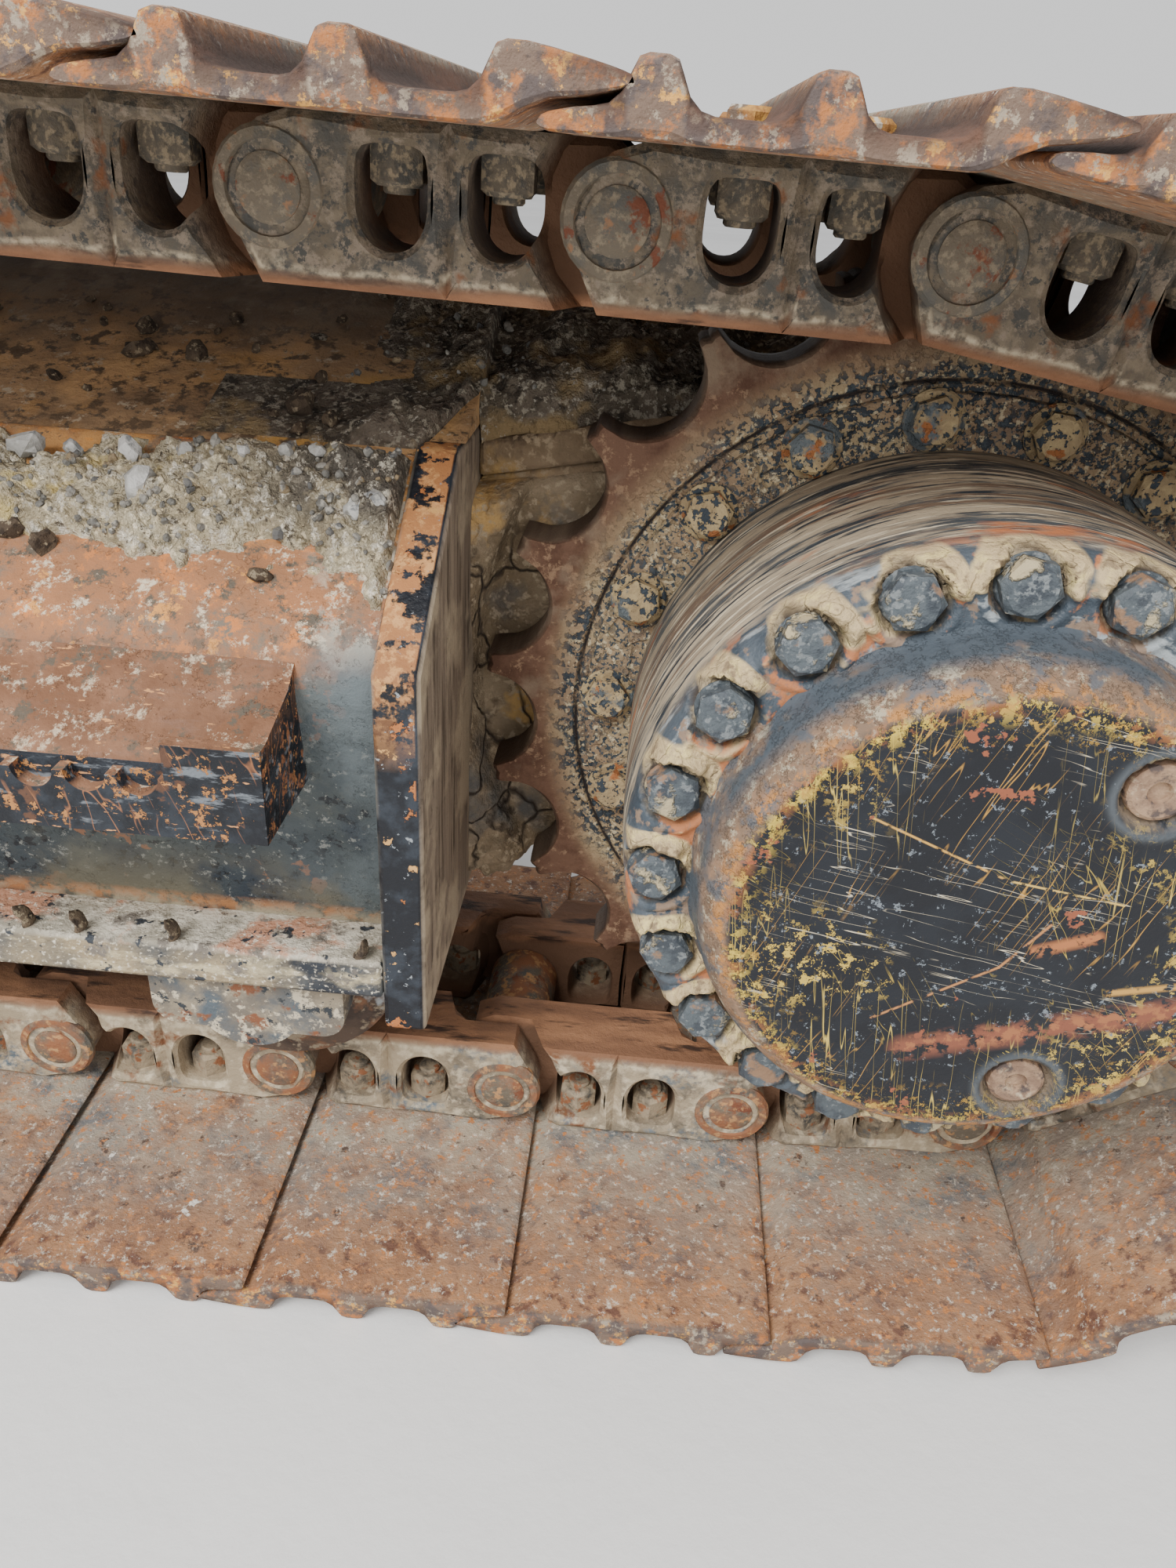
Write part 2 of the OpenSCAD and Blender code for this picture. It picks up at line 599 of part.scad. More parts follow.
// The toothed ring and its inner flange, bolted to the drum from outside
flange_out = 6;
module sprocket() color("#6b4436") {
  difference() {
    union() {
      rod_y(sprocket_x, sprocket_z, tip_r, -sprocket_t / 2 + flange_out, sprocket_t / 2);
      rod_y(sprocket_x, sprocket_z, sprocket_flange_r, -sprocket_t / 2, sprocket_t / 2);
    }
    rod_y(sprocket_x, sprocket_z, spindle_r + slide_gap, -sprocket_t, sprocket_t);
    translate([sprocket_x, 0, sprocket_z]) ring(tooth_count, pitch_r, pin_phase)
      rod_y(0, 0, pocket_r, -sprocket_t, sprocket_t, coarse);
  }
}

// One side of the chain: cranked links, the leading end outside and the trailing end inside
// Past the pin a link starts its crank where the neighbour's corner clears it round the sprocket.
corner_angle = atan2(rail_h, link_end) - 720 / tooth_count;
crank_start = norm([rail_h, link_end]) * cos(corner_angle) + 1;
crank_run = 8;
// Its trailing end leans back, clear of the shoe of the link before, which turns towards it.
lean = link_end / (rail_h + seat_h);
module link_side() intersection() {
  translate([0, 0, -seat_h]) linear_extrude(rail_h + seat_h) polygon([
    [-link_end - 1, inner_back], [pitch - crank_start - crank_run, inner_back], [pitch - crank_start, inner_in],
    [pitch + link_end, inner_in], [pitch + link_end, link_half_w], [crank_start + crank_run, link_half_w],
    [crank_start, inner_out], [-link_end - 1, inner_out]]);
  across(0, shoe_w) polygon([
    [-link_end - lean, rail_h + 1], [lean, -seat_h - 1],
    [2 * pitch, -seat_h - 1], [2 * pitch, rail_h + 1]]);
}
module link_row(side) color("#6e5a48")
  for (k = [0:link_count - 1]) at_link(k)
    if (side < 0) mirror([0, 1, 0]) link_side(); else link_side();
module link_row_outer() link_row(-1);
module link_row_inner() link_row(1);
module bushings() color("#5c4a3c")
  for (k = [0:link_count - 1]) at_link(k) rod_y(0, 0, bush_r, -inner_back, inner_back, 6);

// A shoe's outline along the chain, as [distance from the trailing pin, height below the pins]
lead = pitch + lip_reach;
lip_t = 3;
tail_drop = 10;
grousers = [pitch * 0.19, pitch * 0.55, pitch * 0.905];
function shoe_outline() =
  let (s = -seat_h, p = s - shoe_t, g = p - grouser_h, w = grouser_w / 2)
  [[pitch / 4, s], [-tail_reach, p - tail_drop], [grousers[0], g], [grousers[0] + w, p],
   [grousers[1] - w, p], [grousers[1], g], [grousers[1] + w, p], [grousers[2] - w, p],
   [grousers[2], g], [grousers[2] + w, p], [lead, s - lip_t], [lead - lip_t, s]];
module shoes() color("#8a5c40")
  for (k = [0:link_count - 1]) at_link(k) across(-shoe_w / 2, shoe_w / 2) polygon(shoe_outline());

// Track rollers, their collars, and the carrier rollers on their posts
rail_in = inner_back + 4;
waist_d = 12;
hub_d = 24;
collar_face = collar_out - collar_t - 2;
rim_w = 12;
module track_roller(k) color("#4d4640") spun(roller_x(k), roller_z, concat(
  roller_half(-1), [for (i = [7:-1:0]) roller_half(1)[i]]));
function roller_half(s) = [
  [roller_shaft_r + seat_gap, s * collar_face], [roller_r - hub_d, s * collar_face],
  [roller_r + roller_rim, s * (link_half_w + rim_w)], [roller_r + roller_rim, s * (link_half_w + rim_w / 4)],
  [roller_r - seat_gap, s * (link_half_w + 1)], [roller_r - seat_gap, s * rail_in],
  [roller_r - waist_d, s * (rail_in - waist_d)], [roller_r - waist_d, s * (rail_in - waist_d - 1)]];
function roller_x(k) =
  idler_x + roller_first + k * (reach - roller_first - roller_last) / (roller_n - 1);
lobe_h = 56;
lobe_r = 20;
collar_lid = 4;
shaft_end = collar_out - collar_lid - seat_gap;
module collar(k) translate([roller_x(k), 0, 0]) difference() {
  across(-collar_out, -collar_out + collar_t) intersection() {
    union() {
      translate([0, roller_z]) circle(r = collar_r, $fn = coarse);
      for (side = [-1, 1]) translate([side * (collar_len / 2 - lobe_r), foot_z - lobe_h + lobe_r])
        circle(r = lobe_r, $fn = 24);
      translate([-collar_len / 2 + lobe_r, foot_z - lobe_h]) square([collar_len - 2 * lobe_r, lobe_h]);
      translate([-collar_len / 2, foot_z - lobe_h + lobe_r]) square([collar_len, lobe_h - lobe_r]);
    }
    translate([-collar_len, 0]) square([2 * collar_len, foot_z]);
  }
  rod_y(0, roller_z, roller_shaft_r + seat_gap, -collar_out + collar_lid, -collar_out + collar_t + 1, coarse);
}
module roller_shafts() color("#55504a") for (k = [0:roller_n - 1])
  rod_y(roller_x(k), roller_z, roller_shaft_r, -shaft_end, shaft_end);
module collars(side) color("#3b3f45") for (k = [0:roller_n - 1])
  if (side < 0) collar(k); else mirror([0, 1, 0]) collar(k);
module collars_outer() collars(-1);
module collars_inner() collars(1);

carrier_z = sprocket_z + carrier_dz;
carrier_lid = 14;
carrier_rim_w = inner_back - slide_gap;
carrier_edge = 14;
module carrier_roller(x) color("#4d4640")
  spun(x, carrier_z, [
    [0, -link_half_w], [carrier_r - carrier_edge, -link_half_w],
    [carrier_r - seat_gap, carrier_edge - link_half_w], [carrier_r - seat_gap, -carrier_rim_w],
    [carrier_r + carrier_rim, -carrier_rim_w + carrier_rim], [carrier_r + carrier_rim, carrier_rim_w - carrier_rim],
    [carrier_r - seat_gap, carrier_rim_w], [carrier_r - seat_gap, link_half_w - carrier_edge],
    [carrier_r - carrier_edge, link_half_w], [carrier_shaft_r + seat_gap, link_half_w],
    [carrier_shaft_r + seat_gap, -link_half_w + carrier_lid], [0, -link_half_w + carrier_lid]]);
module carrier_rear_roller() carrier_roller(sprocket_x - carrier_rear);
module carrier_front_roller() carrier_roller(sprocket_x - carrier_front);
// Each carrier roller overhangs on a shaft from a post that stands on the beam's inboard slope
post_y = link_half_w + slide_gap;
module carrier_posts() color("#3b3a3c") for (x = [sprocket_x - carrier_rear, sprocket_x - carrier_front]) {
  rod_y(x, carrier_z, carrier_shaft_r, -link_half_w + carrier_lid + seat_gap, post_y);
  difference() {
    across(post_y, post_y + post_t) union() {
      translate([x, carrier_z]) circle(r = post_r, $fn = coarse);
      polygon([
        [x - post_r, carrier_z], [x + post_r, carrier_z], [x + post_foot, pin_z + bend_z],
        [x - post_foot, pin_z + bend_z]]);
    }
    translate([0, 0, pin_z]) lengthwise(x - post_foot - 1, x + post_foot + 1) polygon(section());
  }
}

// Guards under the beam that keep the chain in line
guard_lap = 24;
guard_slant = 15;
guard_z = pin_z + rail_h - guard_lap;
guard_in = link_half_w + 2 * slide_gap;
guard_wall = 18;
guard_half = (roller_x(1) - roller_x(0)) / 2 - roller_r - roller_rim - slide_gap;
module chain_guards() color("#3b3a3c") both_sides()
  for (k = [1, roller_n - 4]) let (x = (roller_x(k) + roller_x(k + 1)) / 2) {
    across(guard_in, guard_in + guard_wall) polygon([
      [x - guard_half, foot_z], [x - guard_half + guard_slant, guard_z], [x + guard_half - guard_slant, guard_z],
      [x + guard_half, foot_z]]);
    translate([x - guard_half, guard_in + guard_wall, foot_z - guard_wall])
      cube([2 * guard_half, foot_half_w - guard_in - guard_wall, guard_wall]);
  }

// The idler turns on its shaft; the shaft's blocks slide in the fork, and the yoke pushes them
block_proud = 6;
hub_wall = 34;
hub_r = idler_shaft_r + hub_wall;
hub_out = 6;
hub_fillet = 8;
web_half = 26;
tyre_t = 30;
tyre_slope = 14;
rim_slope = 4;
function idler_half(s) = [
  [idler_shaft_r + seat_gap, s * (idler_half_w + hub_out)], [hub_r, s * (idler_half_w + hub_out)],
  [hub_r + hub_fillet, s * (web_half + hub_fillet)], [idler_r - tyre_t - tyre_slope, s * web_half],
  [idler_r - tyre_t, s * idler_half_w], [idler_r, s * idler_half_w],
  [idler_r, s * (idler_rim_half_w + rim_slope)], [idler_r + idler_rim, s * (idler_rim_half_w - rim_slope)]];
module idler() color("#54483e")
  spun(idler_x, idler_z, concat(idler_half(-1), [for (i = [7:-1:0]) idler_half(1)[i]]));
block_out = fork_in + fork_t + block_proud;
module idler_shaft() color("#6a6660")
  rod_y(idler_x, idler_z, idler_shaft_r, -block_out + 2, block_out - 2);
block_in = idler_half_w + hub_out + slide_gap;
module idler_blocks() color("#3b3f45") both_sides() difference() {
  translate([idler_x - block_half, block_in, idler_z - guide_half + guide_gap])
    cube([2 * block_half, block_out - block_in, 2 * (guide_half - guide_gap)]);
  rod_y(idler_x, idler_z, idler_shaft_r + seat_gap, block_in - 1, block_out + 1);
}
// The yoke's two arms run back from the blocks to a cross head, which carries the rod
arm_in = block_in + slide_gap;
arm_out = fork_in - slide_gap;
arm_half = 40;
rod_len = 260;
module yoke() color("#3b3f45") {
  both_sides() translate([idler_x + block_half, arm_in, idler_z - arm_half])
    cube([yoke_back - block_half + 1, arm_out - arm_in, 2 * arm_half]);
  translate([idler_x + yoke_back, -arm_out, idler_z - arm_half]) cube([yoke_t, 2 * arm_out, 2 * arm_half]);
  translate([idler_x + yoke_back + yoke_t, 0, idler_z]) rotate([0, 90, 0])
    cylinder(h = rod_len, r = rod_r, $fn = fine);
}
// The recoil spring and its cylinder are closed inside the beam: one plain block, bored for the rod
spring_x = beam_front + 30;
spring_len = 620;
spring_r = idler_path_r - floor_z - wall - seat_gap;
module recoil_spring() color("#7a3a2a") translate([spring_x, 0, idler_z]) rotate([0, 90, 0]) difference() {
  cylinder(h = spring_len, r = spring_r, $fn = fine);
  translate([0, 0, -1]) cylinder(h = rod_len + 1, r = rod_r + rod_gap, $fn = fine);
}

seat() beam();
seat() rear_roof();
seat() foot_strips();
seat() end_plate();
seat() drive_plate();
seat() mud_hood();
seat() front_fork();
seat() front_plate();
seat() step_rear();
seat() step_front();
seat() saddle_rear();
seat() saddle_front();
seat() flange_rear();
seat() flange_front();
seat() spindle();
seat() travel_motor();
seat() motor_guard();
seat() drum();
seat() cover();
seat() cover_plugs();
seat() sprocket();
seat() link_row_outer();
seat() link_row_inner();
seat() bushings();
seat() shoes();
seat() track_roller(0);  // roller_1
seat() track_roller(1);  // roller_2
seat() track_roller(2);  // roller_3
seat() track_roller(3);  // roller_4
seat() track_roller(4);  // roller_5
seat() track_roller(5);  // roller_6
seat() track_roller(6);  // roller_7
seat() track_roller(7);  // roller_8
seat() roller_shafts();
seat() collars_outer();
seat() collars_inner();
seat() carrier_rear_roller();
seat() carrier_front_roller();
seat() carrier_posts();
seat() chain_guards();
seat() idler();
seat() idler_shaft();
seat() idler_blocks();
seat() yoke();
seat() recoil_spring();
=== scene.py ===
import bmesh
import bpy
import numpy as np
from mathutils import Matrix, Vector


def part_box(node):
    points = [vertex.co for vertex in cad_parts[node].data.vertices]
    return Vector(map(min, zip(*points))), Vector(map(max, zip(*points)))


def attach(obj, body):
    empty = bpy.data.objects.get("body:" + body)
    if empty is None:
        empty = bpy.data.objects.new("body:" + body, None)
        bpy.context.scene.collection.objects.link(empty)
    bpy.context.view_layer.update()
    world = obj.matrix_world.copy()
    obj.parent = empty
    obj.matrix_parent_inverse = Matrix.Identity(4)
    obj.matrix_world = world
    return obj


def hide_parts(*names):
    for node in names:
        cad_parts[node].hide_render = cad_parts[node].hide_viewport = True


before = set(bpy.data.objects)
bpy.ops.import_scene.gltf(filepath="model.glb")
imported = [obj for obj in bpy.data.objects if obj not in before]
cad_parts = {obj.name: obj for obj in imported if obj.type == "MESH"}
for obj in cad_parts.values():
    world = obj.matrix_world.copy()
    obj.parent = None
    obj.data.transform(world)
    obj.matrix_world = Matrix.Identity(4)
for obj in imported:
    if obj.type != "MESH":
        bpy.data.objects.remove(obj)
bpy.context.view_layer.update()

# The viewpoint: a wide lens held beside the drive end, tilted down at the final drive. Its place is
# given from the sprocket's centre, as a camera fit to the chain pins found it.
low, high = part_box("drum")
hub_x, hub_z = (low[0] + high[0]) / 2, (low[2] + high[2]) / 2
yaw, pitch, roll = np.radians([-2.2, 30.06, 3.97])
ahead = np.array([np.sin(yaw) * np.cos(pitch), np.cos(yaw) * np.cos(pitch), -np.sin(pitch)])
level = np.array([np.cos(yaw), -np.sin(yaw), 0])
above = np.cross(level, ahead)
right = np.cos(roll) * level + np.sin(roll) * above
top = -np.sin(roll) * level + np.cos(roll) * above
lens = bpy.data.cameras.new("camera")
lens.sensor_fit, lens.sensor_height, lens.lens, lens.clip_start = "VERTICAL", 36, 25.42, 0.02
camera = bpy.data.objects.new("camera", lens)
camera.matrix_world = Matrix(np.vstack([
    np.column_stack([right, top, -ahead, [hub_x - 0.2202, -0.8454, hub_z + 0.3895]]), [0, 0, 0, 1]]).tolist())
bpy.context.scene.collection.objects.link(camera)
bpy.context.scene.camera = camera


# The cranked track links: forged steel with two windows for the shoe bolts' nuts, a boss round each
# pin and a rail worn by the rollers. Each side is two rings, one round each window.

# The shaders are node trees on Object coordinates, or on the coordinates that a piece carries.
# A layer is a colour, a roughness and one or more masks that are multiplied.
def rgb(code):
    """The linear colour of a #rrggbb code."""
    c = np.array([int(code[i:i + 2], 16) for i in (1, 3, 5)]) / 255
    return (*np.where(c <= 0.04045, c / 12.92, ((c + 0.055) / 1.055) ** 2.4), 1)


def node(tree, kind, ins, **props):
    """A new shader node; ins gives each input a socket to link or a value."""
    n = tree.nodes.new("ShaderNode" + kind)
    for key, value in props.items():
        setattr(n, key, value)
    for key, value in ins.items():
        if isinstance(value, bpy.types.NodeSocket):
            tree.links.new(value, n.inputs[key])
        else:
            n.inputs[key].default_value = value
    return n


def spots(scale, low, high, stretch=(1, 1, 1), detail=5, rough=0.6, shift=0):
    """Noise at scale per metre, stretched, cut from 0 at low to 1 at high. Its octaves stop
    at grains of a quarter of a millimetre: log2(4000 / scale)."""
    detail = min(detail, max(1.0, np.log2(4000 / scale)))

    def make(tree, at):
        m = node(tree, "Mapping", {"Vector": at, "Scale": stretch, "Location": (shift, shift, 0)})
        n = node(tree, "TexNoise", {"Vector": m.outputs[0], "Scale": scale, "Detail": detail,
                                    "Roughness": rough})
        return node(tree, "MapRange", {0: n.outputs[0], 1: low, 2: high}).outputs[0]
    return make


def grain(scale, low, high, rough=0.75, **more):
    """Ragged spots: the same noise with eight octaves, each as strong as rough says against the last."""
    return spots(scale, low, high, **{"detail": 8, "rough": rough, **more})


def uneven(scale, **more):
    """The whole range of the noise, for bumps: spots from 0.3 to 0.7."""
    return spots(scale, 0.3, 0.7, **more)


def place(axis, low, high):
    """0 at low to 1 at high along one of the object's own axes; low may be the larger."""
    def make(tree, at):
        s = node(tree, "SeparateXYZ", {0: node(tree, "TexCoord", {}).outputs["Object"]})
        return node(tree, "MapRange", {0: s.outputs[axis], 1: low, 2: high}).outputs[0]
    return make


def carried(name, low=0, high=1):
    """0 at low to 1 at high of a value that the mesh carries."""
    def make(tree, at):
        a = node(tree, "Attribute", {}, attribute_name=name)
        return node(tree, "MapRange", {0: a.outputs["Fac"], 1: low, 2: high}).outputs[0]
    return make


def product(tree, at, masks):
    """The masks multiplied."""
    out = masks[0](tree, at)
    for m in masks[1:]:
        out = node(tree, "Math", {0: out, 1: m(tree, at)}, operation="MULTIPLY").outputs[0]
    return out


def weathered(name, tint, rough, layers, bumps, coordinates=None):
    """A shader of a base tint with each layer mixed over it by its masks; bumps are (height in metres,
    masks), and their sum is the height."""
    material = bpy.data.materials.new(name)
    material.use_nodes = True
    tree = material.node_tree
    if coordinates:
        at = node(tree, "Attribute", {}, attribute_name=coordinates).outputs["Vector"]
    else:
        at = node(tree, "TexCoord", {}).outputs["Object"]
    shader = tree.nodes["Principled BSDF"]
    shader.inputs["Specular IOR Level"].default_value = 0.35
    colour, level = rgb(tint), rough
    for tint, rough, *masks in layers:
        fac = product(tree, at, masks)
        mixed = node(tree, "Mix", {0: fac, 6: colour, 7: rgb(tint)}, data_type="RGBA")
        colour = mixed.outputs[2]
        level = node(tree, "Mix", {0: fac, 2: level, 3: rough}).outputs[0]
    tree.links.new(colour, shader.inputs["Base Color"])
    tree.links.new(level, shader.inputs["Roughness"])
    height = None
    for size, *masks in bumps:
        part = node(tree, "Math", {0: product(tree, at, masks), 1: size}, operation="MULTIPLY").outputs[0]
        height = part if height is None else node(tree, "Math", {0: height, 1: part}).outputs[0]
    bump = node(tree, "Bump", {"Height": height, "Distance": 1.0, "Strength": 1.0})
    tree.links.new(bump.outputs[0], shader.inputs["Normal"])
    return material


# Each piece is an array of points with four-cornered faces, a missing corner being -1.
def grid(rows, columns, around=False, closed=False):
    """The faces of a rows by columns grid; around joins the last row to the first, closed the columns."""
    r, c = np.meshgrid(np.arange(rows if around else rows - 1), np.arange(columns if closed else columns - 1),
                       indexing="ij")
    r1, c1 = (r + 1) % rows, (c + 1) % columns
    r, r1 = r * columns, r1 * columns
    return np.stack([r + c, r + c1, r1 + c1, r1 + c], -1).reshape(-1, 4)


def weld(points, faces):
    """Joins points that coincide; a face that loses a corner becomes a triangle."""
    _, first, same = np.unique(np.round(points, 6), axis=0, return_index=True, return_inverse=True)
    f = np.where(faces < 0, -1, same.ravel()[faces])
    for i in range(4):
        flat = (f[:, i] == f[:, (i + 1) % 4]) & (f[:, 3] >= 0)
        f[flat] = np.roll(f[flat], -i - 1, axis=1)
        f[flat, 3] = -1
    keep = (f[:, 0] != f[:, 1]) & (f[:, 1] != f[:, 2]) & (f[:, 2] != f[:, 0])
    return points[first], f[keep], first


def turned(profile, n):
    """Points and faces of a profile of [radius, distance along the axis], turned about y."""
    a = np.arange(n) * 2 * np.pi / n
    p = np.asarray(profile, float)
    pts = np.stack([p[None, :, 0] * np.cos(a)[:, None], np.tile(p[None, :, 1], (n, 1)),
                    p[None, :, 0] * np.sin(a)[:, None]], -1).reshape(-1, 3)
    return weld(pts, grid(n, len(p), around=True))[:2]


def copies(points, faces, turns, places):
    """One copy of the points for each turn (3 by 3) and place; the faces follow."""
    many = np.einsum("kij,vj->kvi", turns, points) + places[:, None, :]
    shift = np.arange(len(places))[:, None, None] * len(points)
    f = np.where(faces[None] < 0, -1, faces[None] + shift)
    return many.reshape(-1, 3), f.reshape(-1, 4)


def mixing(xx, xz, zx, zz, yy=1.0):
    """A 3 by 3 turn for each entry: x and z are mixed by the four arrays, and y is kept times yy."""
    turns = np.zeros((len(xx), 3, 3))
    turns[:, 0, 0], turns[:, 0, 2] = xx, xz
    turns[:, 2, 0], turns[:, 2, 2] = zx, zz
    turns[:, 1, 1] = yy
    return turns


def together(*parts):
    """Several (points, faces) as one."""
    starts = np.cumsum([0] + [len(p) for p, _ in parts])
    return (np.concatenate([p for p, _ in parts]),
            np.concatenate([np.where(f < 0, -1, f + s) for (_, f), s in zip(parts, starts)]))


def build(name, points, faces, material, slot, replaces=(), body="root", smooth=35, **carries):
    """A mesh object at the origin, with its material and body; slot is not used; carries are its own values.
    """
    mesh = bpy.data.meshes.new(name)
    used = faces >= 0
    total = used.sum(1)
    mesh.vertices.add(len(points))
    mesh.vertices.foreach_set("co", np.ascontiguousarray(points, np.float32).ravel())
    mesh.loops.add(int(total.sum()))
    mesh.loops.foreach_set("vertex_index", faces[used].astype(np.int32))
    mesh.polygons.add(len(faces))
    mesh.polygons.foreach_set("loop_start", (np.cumsum(total) - total).astype(np.int32))
    mesh.update(calc_edges=True)
    mesh.shade_smooth()
    mesh.set_sharp_from_angle(angle=np.radians(smooth))
    for key, value in carries.items():
        kind = "FLOAT_VECTOR" if value.ndim == 2 else "FLOAT"
        layer = mesh.attributes.new(key, kind, "POINT")
        layer.data.foreach_set("vector" if value.ndim == 2 else "value", value.astype(np.float32).ravel())
    mesh.materials.append(material)
    piece = bpy.data.objects.new(name, mesh)
    bpy.context.scene.collection.objects.link(piece)
    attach(piece, body)
    if replaces:
        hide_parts(*replaces)


def outward(points, faces):
    """The faces turned so that the closed surface has a volume above 0."""
    a, b, c = points[faces[:, 0]], points[faces[:, 1]], points[faces[:, 2]]
    d = points[np.where(faces[:, 3] < 0, faces[:, 2], faces[:, 3])]
    volume = (np.einsum("ij,ij->i", a, np.cross(b, c)) + np.einsum("ij,ij->i", a, np.cross(c, d))).sum()
    flipped = np.where(faces[:, 3:] < 0, faces[:, [2, 1, 0, 3]], faces[:, ::-1])
    return faces if volume > 0 else flipped


# The chain's 49 pins are read from the bushings of the frame; each link has its own axes: x to the next
# pin, z to the rail that the rollers run on.
n_links = 49
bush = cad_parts["bushings"].data.vertices
at = np.empty(len(bush) * 3, np.float32)
bush.foreach_get("co", at)
at = at.reshape(n_links, -1, 3).astype(float)
pins = (at.min(1) + at.max(1)) / 2
mid_y = pins[0, 1]
ways = np.roll(pins, -1, axis=0) - pins
pitch_m = np.linalg.norm(ways, axis=1).mean()
ways /= np.linalg.norm(ways, axis=1)[:, None]
link_turns = mixing(ways[:, 0], -ways[:, 2], ways[:, 2], ways[:, 0])


def along_chain(points, faces):
    """A template in a link's axes, in millimetres, at all links; also the link coordinates it carries."""
    many, f = copies(points / 1000, faces, link_turns, pins)
    apart = np.arange(n_links)[:, None, None] * np.array([0.37, 0.11, 0.23])
    return many, f, (points[None] / 1000 + apart).reshape(-1, 3)


def build_along(name, points, faces, material, slot, replaces=(), own=False, **carries):
    """A template built at all links; what it carries is repeated for each, own is the link coordinates."""
    many, f, coordinates = along_chain(points, outward(points, faces))
    carries = {key: np.tile(value, n_links) for key, value in carries.items()}
    if own:
        carries = {"own": coordinates, **carries}
    build(name, many, f, material, slot, replaces, **carries)


def hexagon(across_flats, height, n=12):
    """A bolt head along +y: a hexagon with a chamfered top, closed at both ends."""
    a = np.arange(n) * 2 * np.pi / n
    flat = across_flats / 2 / np.cos((a + np.pi / 6) % (np.pi / 3) - np.pi / 6)
    rows = [(0 * a, height), (np.full(n, 0.44 * across_flats), height), (flat, height - 0.1 * across_flats),
            (flat, 0), (0 * a, 0)]
    pts = np.stack([np.stack([r * np.cos(a), np.full(n, float(y)), r * np.sin(a)], -1) for r, y in rows], 1)
    p, f, _ = weld(pts.reshape(-1, 3), grid(n, len(rows), around=True))
    return p, outward(p, f)


def outline_reach(centre, way, corners):
    """How far a ray from the centre goes to a convex outline."""
    p = np.array(corners, float)
    e = np.roll(p, -1, axis=0) - p
    w = p - centre
    den = way[:, None, 0] * e[None, :, 1] - way[:, None, 1] * e[None, :, 0]
    den = np.where(abs(den) < 1e-9, 1e-9, den)
    t = (w[None, :, 0] * e[None, :, 1] - w[None, :, 1] * e[None, :, 0]) / den
    s = (w[None, :, 0] * way[:, None, 1] - w[None, :, 1] * way[:, None, 0]) / den
    return np.where((t > 0) & (s > -1e-6) & (s < 1 + 1e-6), t, 1e9).min(1)


def step_down(x, z, low=45.0, high=53.0):
    """The outer face: y 115, but 79 within the crank's ellipse about the trailing pin."""
    rho = np.hypot(np.maximum(x, 0), 0.8 * z)
    k = np.clip((rho - low) / (high - low), 0, 1)
    return 79 + 36 * k


def link_ring(centre_x, half, corners, n=38):
    """A closed ring round one window: front face, rim, back face and window wall, along each ray."""
    centre = np.array([centre_x, 0.0])
    p = np.array(corners, float) - centre
    a = np.unique(np.round(np.concatenate([np.linspace(-np.pi, np.pi, n, endpoint=False),
                                           np.arctan2(p[:, 1], p[:, 0])]), 4))
    way = np.stack([np.cos(a), np.sin(a)], -1)
    power = np.where(way[:, 1] > 0, 2.2, 5.0)
    t0 = (abs(way[:, 0] / half) ** power + abs(way[:, 1] / 28) ** power) ** (-1 / power)
    t1 = outline_reach(centre, way, corners)
    rail = (abs(way[:, 1] * t1 - 51) < 1) * 1.0
    cross = []
    for r in (53.0, 45.0):
        qa = way[:, 0] ** 2 + 0.64 * way[:, 1] ** 2
        qb = centre_x * way[:, 0]
        disc = qb ** 2 - qa * (centre_x ** 2 - r ** 2)
        hit = (disc > 0) & (-qb > 0)
        spare = t0 + (t1 - t0) * (0.35 if r > 50 else 0.65)
        ellipse = np.where(hit, (-qb - np.sqrt(np.maximum(disc, 0))) / qa, spare)
        cross.append(np.clip(ellipse, t0 + 4, t1 - 9 - 7 * rail))
    cross[1] = np.minimum(np.maximum(cross[1], cross[0] + 0.5), t1 - 7.5 - 7 * rail)
    back = np.clip(np.where(way[:, 0] > 0.2, (152 - centre_x) / np.maximum(way[:, 0], 0.2), (t0 + t1) / 2),
                   t0 + 4, t1 - 5)
    reach = [t0, t0 + 4, *cross, t1 - 7 - 7 * rail, t1, t1, t1 - 3, back + 4, back - 4, t0 + 2, t0]
    reach = np.clip(np.stack(reach, 1), t0[:, None], t1[:, None])
    x, z = centre_x + reach * way[:, :1], reach * way[:, 1:]
    front = step_down(x, z)
    behind = 45.5 + 35.8 * np.clip((x - 148) / 8, 0, 1)
    y = np.where(np.arange(12) < 6, front, behind)
    y[:, 0] -= 4
    y[:, 5] -= 5
    y[:, 6] += 3
    y[:, 11] += 3
    pts = np.stack([x, y, z], -1).reshape(-1, 3)
    p, f, _ = weld(pts, grid(len(a), 12, around=True, closed=True))
    return p, outward(p, f)


end_out = [(99.3, -41), (192, -41), (209, -35), (222, -24), (231, -9), (233.5, 3), (229, 16), (211, 51),
           (99.3, 51)]
end_in = [(99.3, 51), (-14, 51), (-31, 43), (-3, -36), (4, -41), (99.3, -41)]
window_x = (66.8, 132.2)
link_side = together(link_ring(window_x[1], 21.4, end_out), link_ring(window_x[0], 20.9, end_in))
nut = hexagon(31, 22)
to_rail = np.array([[1, 0, 0], [0, 0, -1], [0, 1, 0]], float)[None]
to_shoe = np.array([[1, 0, 0], [0, 0, 1], [0, -1, 0]], float)[None]
stud = turned([(0, 26), (8.5, 26), (10, 24.5), (10, 20), (0, 20)], 12)
nuts = together(*[copies(*piece, to_rail, np.array([[x, 88, -28.0]])) for x in window_x
                  for piece in (nut, (stud[0], outward(*stud)))])
pin_end = turned([(0, 117.5), (16, 117.5), (19, 116), (19.4, 111), (23.5, 111), (25.5, 117), (31, 116.4),
                  (33.5, 113), (33, 108), (0, 108)], 28)
pin_end = (pin_end[0] + [203, 0, 0], outward(*pin_end))
